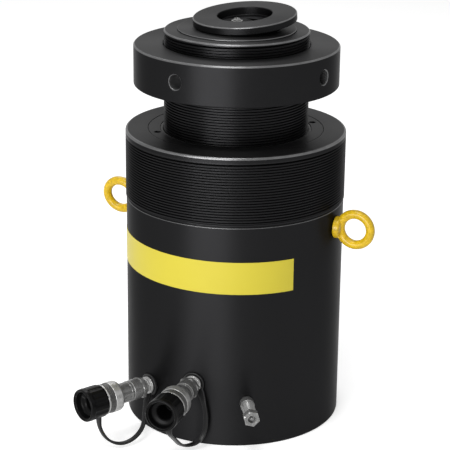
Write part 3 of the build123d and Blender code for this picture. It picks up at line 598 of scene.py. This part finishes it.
glandSettings = {
    "outer": 97.4, "top": 331.8, "wiperBore": 84.0, "wiperDepth": 8.0, "bottom": 196.0, "seat": 272.05,
    "pilot": 94.95, "bore": 80.4, "holeRadius": 3.5, "holeCircle": 89.0, "holeDepth": 10.0, "holeAzimuth": -75.0,
    "wiper": [(323.9, 81.5, 0.3), (323.9, 83.9, 0.3), (331.2, 83.9, 0.4), (331.5, 81.2, 0.4), (331.0, 80.06, 0.3),
              (327.5, 80.9, 0.5)],
}


def makeGland():
    s = named(glandSettings)
    corners = [(s.bottom, s.bore, 0.5), (s.bottom, s.pilot, 1.0), (s.seat, s.pilot, 0.3), (s.seat, s.outer, 0.5),
               (s.top, s.outer, 0.9), (s.top, s.wiperBore, 0.5), (s.top - s.wiperDepth, s.wiperBore, 0.3),
               (s.top - s.wiperDepth, s.bore, 0.3)]
    piece = turnedPiece("glandRing", upright, corners, "blackSteel", "cylinder", columns=192)
    # the top face is painted with the lighter sheen copy: a painted sheen
    paintFaces(piece, upright, "topSheenSteel", s.top - skin)
    cutters = []
    for turn in (0, 180):
        way = outward(s.holeAzimuth + turn) * s.holeCircle
        place = axisPlace((way[0], way[1], 0), (0, 0, 1), (0, -1, 0))
        floor = s.top - s.holeDepth
        outline = np.array([(floor - 1.2, 0), (floor, s.holeRadius), (s.top - 0.5, s.holeRadius),
                            (s.top + 0.01, s.holeRadius + 0.5), (s.top + 3, s.holeRadius + 3.5), (s.top + 3, 0)])
        cutters.append(turnedGrid(place, outline, 40))
    cutHoles(piece, cutters)
    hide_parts("gland_ring")
    wiper = turnedPiece("wiperRing", upright, s.wiper, "sealRubber", "cylinder", columns=160)
    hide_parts("wiper_ring")


makeGland()
print("gland made")


# ---- plunger with its trapezoidal thread

plungerSettings = {
    "radius": 80.0, "top": 442.7, "chamfer": 1.5, "pitch": 3.0, "depth": 1.75, "threadLow": 284.0, "bottom": 146.8,
    "seatRadius": 65.05, "seatFloor": 428.3, "screwRadius": 3.05, "screwDepth": 14.0, "spigot": 60.0,
    "spigotThread": 56.0, "spigotStep": 110.8, "spigotEnd": 97.8, "columns": 224,
}


def makePlunger():
    s = named(plungerSettings)
    columns = s.columns
    tooth = [(0.0, 0.0), (0.24, 0.0), (0.50, s.depth), (0.72, s.depth)]
    low = eased([(s.spigotEnd, 0, 0), (s.spigotEnd, s.spigotThread, 1), (s.spigotStep, s.spigotThread, 0),
                 (s.spigotStep, s.spigot, 0), (s.bottom, s.spigot, 0), (s.bottom, s.radius, 0.6),
                 (200, s.radius, 0), (s.threadLow, s.radius, 0)], False)
    threadTop = s.top - s.chamfer - 0.6
    high = eased([(threadTop, s.radius, 0), (s.top - s.chamfer, s.radius, 0.2), (s.top, s.radius - s.chamfer, 0.35),
                  (s.top, s.seatRadius, 0.4), (s.seatFloor, s.seatRadius, 0), (s.seatFloor, s.screwRadius, 0),
                  (s.seatFloor - s.screwDepth, s.screwRadius, 0), (s.seatFloor - s.screwDepth, 0, 0)], False)
    thread = threadWall(s.threadLow, threadTop, s.pitch, s.radius, tooth, columns)
    grid = threadedGrid(upright, low, thread, high, columns)
    piece = makePiece("plungerScrew", [(grid, False, False)], "blackThread", "ram", sharp=26)
    # the top face is painted with the lighter sheen copy: a painted sheen
    paintFaces(piece, upright, "topSheenSteel", s.top - skin)
    # the top chamfer is painted light: partly edge wear, partly a painted highlight line
    paintFaces(piece, upright, "rubbedHighlightSteel", s.top - s.chamfer - 0.1, s.top - skin, s.radius - 2)
    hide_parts("plunger")


makePlunger()
print("plunger made")


# ---- lock nut

nutSettings = {"radius": 113.2, "low": 382.8, "high": 427.3, "bore": 80.06, "edge": 1.6, "boreEdge": 2.0,
               "holeRadius": 8.0, "holeDepth": 22.0, "holeAzimuth": -35.0, "holeCount": 4, "columns": 256}


def makeNut():
    s = named(nutSettings)
    edge = s.edge
    corners = [(s.low, s.bore, s.boreEdge), (s.low, s.radius, edge), (s.high - edge, s.radius, 0.35),
               (s.high, s.radius - edge, 0.35), (s.high, s.bore, s.boreEdge)]
    piece = turnedPiece("lockNut", upright, corners, "blackSteel", "nut", columns=s.columns)
    middle = (s.low + s.high) / 2
    cutters = [holeCutter(s.holeAzimuth + turn * 360 / s.holeCount, middle, s.radius - s.holeDepth, s.radius - 0.1,
                          s.holeRadius, 0.8, 56) for turn in range(s.holeCount)]
    cutHoles(piece, cutters, inside="boredSteel")
    # the top face is painted with the lighter sheen copy: a painted sheen
    paintFaces(piece, upright, "topSheenSteel", s.high - skin, outer=s.radius - edge + 0.3)
    # the top chamfer is painted light: partly edge wear, partly a painted highlight line
    paintFaces(piece, upright, "rubbedHighlightSteel", s.high - edge - 0.1, s.high - skin, s.radius - edge - 0.5)
    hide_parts("lock_nut")


makeNut()
print("lock nut made")


# ---- saddle seat, tilting saddle and what holds it

saddleSettings = {
    "centre": 577.2, "topDepth": 120.0, "rim": 7.5, "radius": 57.2, "recess": 30.1, "recessDepth": 9.0, "hole": 16.0,
    "tilt": 5.0, "lowAzimuth": -52.0, "edge": 1.0, "gap": 0.3, "seatRadius": 65.0, "seatTop": 444.2,
    "seatBottom": 428.35, "seatBore": 3.3,
}


def ballArc(ball, fromRadius, toRadius, count=14):
    # points on a ball below its centre: depth = sqrt(ball^2 - radius^2), with no easing
    radius = np.linspace(fromRadius, toRadius, count)
    return np.stack([-np.sqrt(ball ** 2 - radius ** 2), radius, 0 * radius], axis=1)


def makeSaddle():
    s = named(saddleSettings)
    rimDepth = s.topDepth + s.rim
    ball = math.hypot(rimDepth, s.radius)
    lean = math.radians(s.tilt)
    upward = outward(s.lowAzimuth) * math.sin(lean) + zAxis * math.cos(lean)
    across = np.cross(upward, outward(s.lowAzimuth))
    across /= np.linalg.norm(across)
    place = axisPlace((0, 0, s.centre), upward, across)
    recessFloor = -s.topDepth - s.recessDepth
    corners = np.vstack([
        [(recessFloor, s.hole, 0.5), (recessFloor, s.recess, 1.2), (-s.topDepth, s.recess, s.edge),
         (-s.topDepth, s.radius - s.edge, 0.25), (-s.topDepth - s.edge, s.radius, 0.25), (-rimDepth, s.radius, 0.3)],
        ballArc(ball, s.radius - 0.5, s.hole),
    ])
    saddle = turnedPiece("tiltSaddle", place, corners, "blackSteel", "saddle", columns=192)
    # the top face is painted with the lighter sheen copy: a painted sheen
    paintFaces(saddle, place, "topSheenSteel", -s.topDepth - skin, skin - s.topDepth)
    # the rim's edge is painted light: partly edge wear, partly a painted highlight line
    paintFaces(saddle, place, "rubbedHighlightSteel", -s.topDepth - s.edge, -s.topDepth, s.radius - s.edge - 0.3)
    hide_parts("saddle")

    dish = ball + s.gap
    mouth = math.sqrt(dish ** 2 - (s.centre - s.seatTop) ** 2)
    arc = ballArc(dish, s.seatBore, mouth)
    arc[:, 0] += s.centre
    arc[-1, 2] = 0.4
    corners = np.vstack([arc, [(s.seatTop, s.seatRadius, 0.8), (s.seatBottom, s.seatRadius, 0.5),
                               (s.seatBottom, s.seatBore, 0)]])
    seat = turnedPiece("saddleSeat", upright, corners, "blackSteel", "ram", columns=192)
    # the top face is painted with the lighter sheen copy: a painted sheen
    paintFaces(seat, upright, "topSheenSteel", s.seatTop - skin)
    # the top edge is painted light: partly edge wear, partly a painted highlight line
    paintFaces(seat, upright, "rubbedHighlightSteel", s.seatTop - 0.9, s.seatTop - skin, s.seatRadius - 1)
    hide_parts("saddle_seat")


retainerSettings = {
    "radius": 18.0, "low": 449.58, "high": 450.78, "bore": 3.3, "washer": 6.2, "washerBore": 3.05, "washerHigh": 452.03,
    "screw": 3.0, "screwLow": 416.3, "head": 4.4, "headHigh": 454.4, "socket": 2.0, "socketDepth": 1.8,
}


def hexRadius(flat, angle, turn=0.0):
    # distance to a hexagon's side at each angle: flat / cos(angle to the nearest flat)
    sixth = math.pi / 3
    return flat / np.cos((angle - turn + sixth / 2) % sixth - sixth / 2)


def makeRetainer():
    s = named(retainerSettings)
    corners = [(s.low, s.bore, 0.2), (s.low, s.radius, 0.3), (s.high, s.radius, 0.3), (s.high, s.bore, 0.2)]
    retainer = turnedPiece("saddleRetainer", upright, corners, "blackSteel", "retainer")
    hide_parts("saddle_retainer")
    low = s.high + 0.05
    corners = [(low, s.washerBore, 0.1), (low, s.washer, 0.25), (s.washerHigh, s.washer, 0.25),
               (s.washerHigh, s.washerBore, 0.1)]
    washer = turnedPiece("saddleWasher", upright, corners, "platedSteel", "ram", columns=72)
    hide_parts("saddle_washer")
    top = s.headHigh
    low = s.washerHigh + 0.05
    corners = [(s.screwLow, 0, 0), (s.screwLow, s.screw, 0.5), (low, s.screw, 0), (low, s.head, 0.2),
               (top - 1.6, s.head, 0.8), (top - 0.3, s.head - 1.7, 0.6), (top, s.socket + 0.9, 0.2),
               (top, s.socket + 0.35, 0.1), (top - 0.3, s.socket, 0), (top - s.socketDepth, s.socket, 0),
               (top - s.socketDepth - 0.3, 0, 0)]

    def socketShape(along, radius, angle):
        # the inner wall of the head is a hexagon
        inside = (along > top - 2.0) & (radius <= s.socket + 0.01)
        return np.where(inside, hexRadius(s.socket, angle), radius)

    screw = turnedPiece("saddleScrew", upright, corners, "platedSteel", "ram", columns=72, closed=False,
                        swell=socketShape)
    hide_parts("saddle_screw")


makeSaddle()
makeRetainer()
print("saddle made")


# ---- eyebolts

def makeEyebolt(side):
    # a forging: ring, neck and flange are joined by remeshing, and smoothing gives the fillets
    s = named(eyeSettings)
    azimuth, roll = s.places[side]
    way = outward(azimuth)
    lean = math.radians(roll)
    normal = np.cross(zAxis, way) * math.cos(lean) + zAxis * math.sin(lean)
    centre = way * (s.face + s.standOff) + zAxis * s.height
    ringPlace = axisPlace(centre, normal, way)
    turn = circleAngles(96)[:, None]
    section = circleAngles(32)[None, :]
    thick = s.sectionRadius * (1 + 0.05 * (1 - np.cos(turn)) / 2)
    ring = turnedPoints(ringPlace, thick * np.sin(section), s.ringRadius + thick * np.cos(section), turn + 0 * section)
    base = radialPlace(azimuth, s.height)
    flangeEnd = s.face + s.flangeThickness
    corners = [(s.face + 0.05, 0, 0), (s.face + 0.05, s.flangeRadius, 0.6),
               (flangeEnd - 0.3, s.flangeRadius - 0.7, 1.5), (flangeEnd + 0.4, s.neck, 1.0), (flangeEnd + 1.2, 0, 0)]
    flange = turnedGrid(base, eased(corners, False), 64)
    piece = makePiece(f"{side}Eyebolt", [(ring, True, True), (flange, False, True)], "yellowEnamel")
    remesh = piece.modifiers.new("forge", "REMESH")
    remesh.mode = "VOXEL"
    remesh.voxel_size = 0.00055
    soften = piece.modifiers.new("soften", "SMOOTH")
    soften.factor = 0.5
    soften.iterations = 5
    applyModifiers(piece)
    smoothFaces(piece, 60)
    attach(piece, "cylinder")
    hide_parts(f"eyebolt_{side}")


for side in sides:
    makeEyebolt(side)
print("eyebolts made")


# ---- hose couplings

couplingSettings = {
    "root": 106, "rootRadius": 8.0, "oilWay": 3.5, "adaptorFace": 122.8, "adaptorRadius": 9.6, "neck": 7.2,
    "neckEnd": 142, "hexStart": 133.0, "hexEnd": 138.5, "hexFlat": 11.0, "hexCorner": 12.7, "hexEase": 10.9,
    "hexTurn": 14, "radius": 11.5, "end": 184.8, "socket": 9.6, "socketFloor": 170.8, "seat": 4.8, "seatFloor": 168.8,
    "chamber": 7.6, "chamberFloor": 152.8, "shoulder": 13.1, "shoulderEnd": 175.3,
    "collarStart": 168.3, "collarEnd": 189.3, "collarRadius": 17.2, "collarNeck": 11.8, "collarBore": 13.4,
    "collarThread": 14.0, "threadDepth": 12.0, "knurls": 40, "knurlPitch": 2.6, "knurlDepth": 0.5,
    "capStart": 189.6, "capLength": 24.5, "capRadius": 18.5, "capBore": 14.3, "capRibs": 12, "webStart": 11.0,
    "plugEnd": 179.8, "plugRadius": 9.3, "hollowEnd": 182.8,
}


def makeCoupling(side):
    s = named(couplingSettings)
    azimuth, height = portSettings[side]
    place = radialPlace(azimuth, height)
    bright, plated, knurled = (makeFinish(name, (azimuth, height))
                               for name in ("brightSteel", "platedSteel", "knurledSteel"))

    face = s.adaptorFace
    wide = s.adaptorRadius
    corners = [(s.root, s.oilWay, 0), (s.root, s.rootRadius, 0.4), (face + 1.1, s.rootRadius, 0),
               (face + 1.1, wide, 0.3), (face + 2.2, wide, 0.1), (face + 2.5, 9.2, 0.1), (face + 2.9, 9.2, 0.1),
               (face + 3.2, wide, 0.1), (face + 3.9, wide, 0.5), (face + 4.6, 8.2, 0.3), (face + 5.2, s.neck, 0.6),
               (s.neckEnd, s.neck, 0), (s.neckEnd, s.oilWay, 0)]
    adaptor = turnedPiece(f"{side}Adaptor", place, corners, bright, "cylinder", columns=72)
    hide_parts(f"{side}_adaptor")

    # the coupling's body: a hexagon with turned corners, then a round barrel with a groove
    def hexShape(along, radius, angle):
        # the smaller of the hexagon's side and the outline, over the hexagon's length
        onHex = (along >= s.hexStart - 0.01) & (along <= s.hexEnd + 0.01) & (radius > s.socket)
        return np.where(onHex, np.minimum(radius, hexRadius(s.hexFlat, angle, math.radians(s.hexTurn))), radius)

    start, hexEnd, wide, bore = s.hexStart, s.hexEnd, s.radius, s.neck + 0.06
    corners = [
        (start, bore, 0.2), (start, s.hexEase, 0), (start + 0.9, s.hexCorner, 0), (hexEnd - 0.9, s.hexCorner, 0),
        (hexEnd, s.hexEase, 0), (hexEnd + 0.05, wide - 0.5, 0.1), (hexEnd + 0.8, wide, 0.3), (149.6, wide, 0.25),
        (150.2, wide - 0.8, 0.2), (151.2, wide - 0.8, 0.2), (151.8, wide + 0.15, 0.3), (153.4, wide + 0.15, 0.3),
        (153.8, wide - 0.2, 0.1), (170.3, wide - 0.2, 0.2), (171.3, s.shoulder, 0.3), (s.shoulderEnd, s.shoulder, 0.2),
        (s.shoulderEnd, wide, 0.2), (s.end, wide, 0.5), (s.end, s.socket, 0.4), (s.socketFloor, s.socket, 0.3),
        (s.socketFloor, s.seat, 0.2), (s.seatFloor, s.seat, 0), (s.seatFloor, s.chamber, 0),
        (s.chamberFloor, s.chamber, 0), (s.chamberFloor, s.oilWay, 0), (s.neckEnd + 0.6, s.oilWay, 0),
        (s.neckEnd + 0.6, bore, 0)]
    coupler = turnedPiece(f"{side}Coupler", place, corners, plated, "cylinder", columns=96, swell=hexShape, sharp=30)
    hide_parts(f"{side}_coupler")

    # the collar: a smooth ring, a knurled band and a thin ring
    first, last, outer = s.collarStart, s.collarEnd, s.collarRadius
    bore, threadEnd, step = s.shoulder + 0.06, last - s.threadDepth, first + 7.3
    corners = [
        (first, s.collarNeck, 0.2), (first, outer - 1.2, 2.2), (first + 2.2, outer, 1.6), (first + 11.2, outer, 0.4),
        (first + 11.8, outer - 0.7, 0.3), (first + 18.4, outer - 0.7, 0.3), (first + 19.0, outer + 0.05, 0.25),
        (last - 0.1, outer + 0.05, 0.5), (last, 15.5, 0.3), (last, s.collarThread, 0.3), (threadEnd, s.collarThread, 0),
        (threadEnd, s.collarBore, 0), (step, s.collarBore, 0), (step, bore, 0), (first + 2.4, bore, 0),
        (first + 1.7, s.collarNeck, 0)]
    outline = eased(corners, True)
    band = (outline[:, 0] > first + 11.75) & (outline[:, 0] < first + 18.45) & (outline[:, 1] > outer - 1.0)
    edges = np.flatnonzero(band)
    extra = np.stack([np.linspace(first + 12.1, first + 18.1, 25), np.full(25, outer - 0.7)], axis=1)
    middle = edges[np.searchsorted(outline[edges, 0], first + 15.0)]
    outline = np.vstack([outline[:middle], extra, outline[middle:]])

    def knurl(along, radius, angle):
        # grooves that cross: the radius rises by the depth x the smaller of two triangle waves
        onBand = (along > first + 12.0) & (along < first + 18.2) & (radius > outer - 0.9)
        turns, lean = angle * s.knurls / (math.tau), (along - first) / s.knurlPitch
        waves = [np.abs(((turns + way * lean) % 1.0) * 2 - 1) for way in (1, -1)]
        return np.where(onBand, radius + s.knurlDepth * np.minimum(*waves) - 0.1, radius)

    grid = turnedGrid(place, outline, 240, knurl)
    collar = makePiece(f"{side}Collar", [(grid, True, True)], bright, f"{side}_collar", sharp=45)
    paintFaces(collar, place, knurled, first + 11.4, first + 18.8, outer - 1.4)
    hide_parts(f"{side}_collar")

    # the dust cap: ribs round it, a plug behind, and a hollow front
    low, high, wide = s.capStart, s.capStart + s.capLength, s.capRadius
    web, hollow, plug = low + s.webStart, s.hollowEnd, s.plugEnd
    corners = [
        (low, s.capBore, 0.3), (low, wide - 1.3, 0.8), (low + 1.6, wide - 0.7, 0.8), (low + 8, wide - 0.55, 0),
        (high - 6.5, wide - 0.5, 0.5), (high - 5.0, wide, 0.8), (high - 0.8, wide - 0.3, 1.6), (high, wide - 2.1, 0.6),
        (high - 1.6, wide - 2.4, 0.6), (high - 2.0, wide - 3.6, 0.5), (web + 5.0, wide - 4.6, 1.6),
        (web + 3.6, 9.4, 0.9), (web + 2.2, 8.2, 0.6), (hollow, 7.0, 0.6), (hollow, 0, 0), (182.4, 0, 0),
        (plug, 0, 0), (plug, 8.3, 0.8), (plug + 1.0, s.plugRadius, 0.5), (web, s.plugRadius, 0.6),
        (web, s.capBore, 0.8)]

    def ribs(along, radius, angle):
        # shallow grip ribs over the skirt: a clipped cosine
        grip = (along > low + 0.5) & (along < high - 5.2) & (radius > wide - 1.6)
        wave = np.clip(1.6 * np.cos(angle * s.capRibs) + 0.4, -0.6, 0.6)
        return np.where(grip, radius + 0.42 * wave, radius)

    cap = turnedPiece(f"{side}DustCap", place, corners, "capRubber", f"{side}_cap", columns=192, swell=ribs,
                      sharp=50)
    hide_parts(f"{side}_dust_cap")


for side in sides:
    makeCoupling(side)
print("hose couplings made")


# ---- rubber straps that tie the caps to their ports

capRoot = couplingSettings["capStart"] + 3.0
strapSettings = {
    "ringRadius": 12.7, "ringBore": 9.0, "ringStart": 120.2, "ringEnd": 123.8,
    "rootWidth": 9.0, "middleWidth": 5.4, "thickness": 2.9, "taper": 22.0, "bendStart": 130.0,
    # the route: distance along the port's line, distance across it, height
    "left": [(123.4, -0.5, 45.0), (123.9, -0.5, 42.7), (135.0, 8.0, 30.0), (144.5, 18.5, 17.0), (156.0, 21.5, 9.0),
             (168.5, 21.0, 4.6), (180.0, 16.5, 4.2), (188.5, 8.0, 9.5), (capRoot - 0.3, 0.5, 22.0),
             (capRoot, 0.0, 35.2), (capRoot, 0.0, 38.0)],
    "right": [(123.3, 6.8, 67.6), (123.5, 8.9, 65.0), (127.5, 15.0, 52.0), (128.5, 18.2, 35.5), (129.5, 17.0, 18.0),
              (133.5, 10.0, 7.0), (143.0, 0.5, 5.2), (157.0, -1.5, 13.0), (173.0, -1.0, 27.0), (188.0, -0.3, 39.0),
              (capRoot - 0.3, 0.0, 46.0), (capRoot, 0.0, 53.2), (capRoot, 0.0, 56.0)],
}


def smoothPath(points, samples):
    # a quadratic B-spline held at its ends: each point pulls the curve as (1-w)^2 a + 2 w (1-w) p + w^2 b, where a and
    # b are the middles of the runs beside it
    points = np.array(points, float)
    middles = (points[:-1] + points[1:]) / 2
    middles[0], middles[-1] = points[0], points[-1]
    w = np.linspace(0, 1, samples, endpoint=False)[None, :, None]
    start, corner, end = middles[:-1, None], points[1:-1, None], middles[1:, None]
    path = ((1 - w) ** 2 * start + 2 * w * (1 - w) * corner + w ** 2 * end).reshape(-1, 3)
    return np.vstack([path, points[-1:]])


def makeStrap(side):
    s = named(strapSettings)
    azimuth, height = portSettings[side]
    way = outward(azimuth)
    across = np.cross(zAxis, way)
    route = np.array(strapSettings[side], float)
    path = smoothPath(route[:, :1] * way + route[:, 1:2] * across + route[:, 2:] * zAxis, 10)
    tangent = np.gradient(path, axis=0)
    tangent /= np.linalg.norm(tangent, axis=1)[:, None]
    wide = across - (tangent @ across)[:, None] * tangent
    wide /= np.linalg.norm(wide, axis=1)[:, None]
    thin = np.cross(tangent, wide)
    run = np.concatenate([[0], np.cumsum(np.linalg.norm(np.diff(path, axis=0), axis=1))])
    print(side, "strap length", round(run[-1]), "mm")
    # a flat band, wider towards both ends, with a rounded section: half size x sign(cos) x |cos|^0.45
    toEnd = np.minimum(run, run[-1] - run)
    fade = np.clip(1 - toEnd / s.taper, 0, 1)
    halfWidth = (s.middleWidth + (s.rootWidth - s.middleWidth) * fade * fade * (3 - 2 * fade)) / 2
    angle = circleAngles(28)
    square = lambda v: np.sign(v) * np.abs(v) ** 0.45
    band = path[:, None] + (halfWidth[:, None] * square(np.cos(angle)))[..., None] * wide[:, None]
    band += (s.thickness / 2 * square(np.sin(angle)))[:, None] * thin[:, None]
    ends = [np.repeat(path[row][None, None], len(angle), 1) for row in (0, -1)]
    band = np.concatenate([ends[0], band, ends[1]], axis=0)
    place = radialPlace(azimuth, height)
    corners = [(s.ringStart, s.ringBore, 0.4), (s.ringStart, s.ringRadius, 0.8), (s.ringEnd, s.ringRadius, 1.2),
               (s.ringEnd, s.ringBore, 0.5)]
    ring = turnedGrid(place, eased(corners, True), 72)
    piece = makePiece(f"{side}CapStrap", [(band, False, True), (ring, True, True)], "strapRubber", sharp=60)
    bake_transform(piece)
    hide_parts(f"{side}_cap_strap")


for side in sides:
    makeStrap(side)
print("straps made")


# ---- relief valve

def makeValve():
    s = named(valveSettings)
    place = radialPlace(s.azimuth, s.height)
    plated = makeFinish("platedSteel", (s.azimuth, s.height))
    face, tip, pitch = s.face + 0.05, s.tip, s.threadPitch
    hexStart, threadStart = tip - s.hexLength, face + 11.0
    count = int((hexStart - threadStart - 1.5) / pitch)
    rows = [(threadStart + pitch * (turn + phase), radius, 0) for turn in range(count)
            for phase, radius in ((0, s.stem), (0.5, s.stem - 0.6))]
    corners = [(s.root, s.oilWay, 0), (s.root, 6.3, 0.5), (face, 6.4, 0), (face, 7.8, 0.5), (face + 9.5, 7.8, 0.6),
               (face + 10.3, s.stem, 0.2), *rows, (hexStart, 6.6, 0.2), (hexStart, s.chamber, 0),
               (face + 8, s.chamber, 0), (face + 8, s.oilWay, 0)]
    stem = turnedPiece("reliefValve", place, corners, plated, "cylinder", columns=72, sharp=50)
    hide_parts("relief_valve")

    def hexShape(along, radius, angle):
        return np.where(radius > s.stem, np.minimum(radius, hexRadius(s.hexFlat, angle, math.radians(45))), radius)

    corners = [
        (hexStart + 0.05, 0, 0), (hexStart + 0.05, 7.6, 0), (hexStart + 0.7, 9.2, 0), (tip - 0.9, 9.2, 0),
        (tip - 0.05, 7.5, 0), (tip, 7.2, 0.1), (tip, 6.1, 0.1), (tip - 0.25, 5.9, 0.1), (tip - 0.25, 4.9, 0.1),
        (tip, 4.7, 0.1), (tip, 4.2, 0.3), (tip - 5.0, 4.1, 0), (tip - 5.0, 1.6, 0), (tip - 1.1, 1.6, 0.4),
        (tip - 0.8, 0, 0)]
    cap = turnedPiece("reliefValveCap", place, corners, plated, "cylinder", columns=96, closed=False, swell=hexShape,
                      sharp=30)
    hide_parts("relief_valve_cap")


makeValve()
print("relief valve made")


# ---- finishes on the solids that stay

nodeFinishes = {
    "innerSteel": ["passage_plug", "piston", "piston_nut", "relief_poppet", "relief_spring", "left_poppet",
                   "right_poppet", "left_poppet_spring", "right_poppet_spring"],
    "bronze": ["gland_bearing", "piston_guide_rings"],
    "sealRubber": ["rod_seal", "gland_o_ring", "piston_seal"],
}
for finish, names in nodeFinishes.items():
    for name in names:
        mesh = nodes[name].data
        mesh.materials.clear()
        addFinish(mesh, finish)
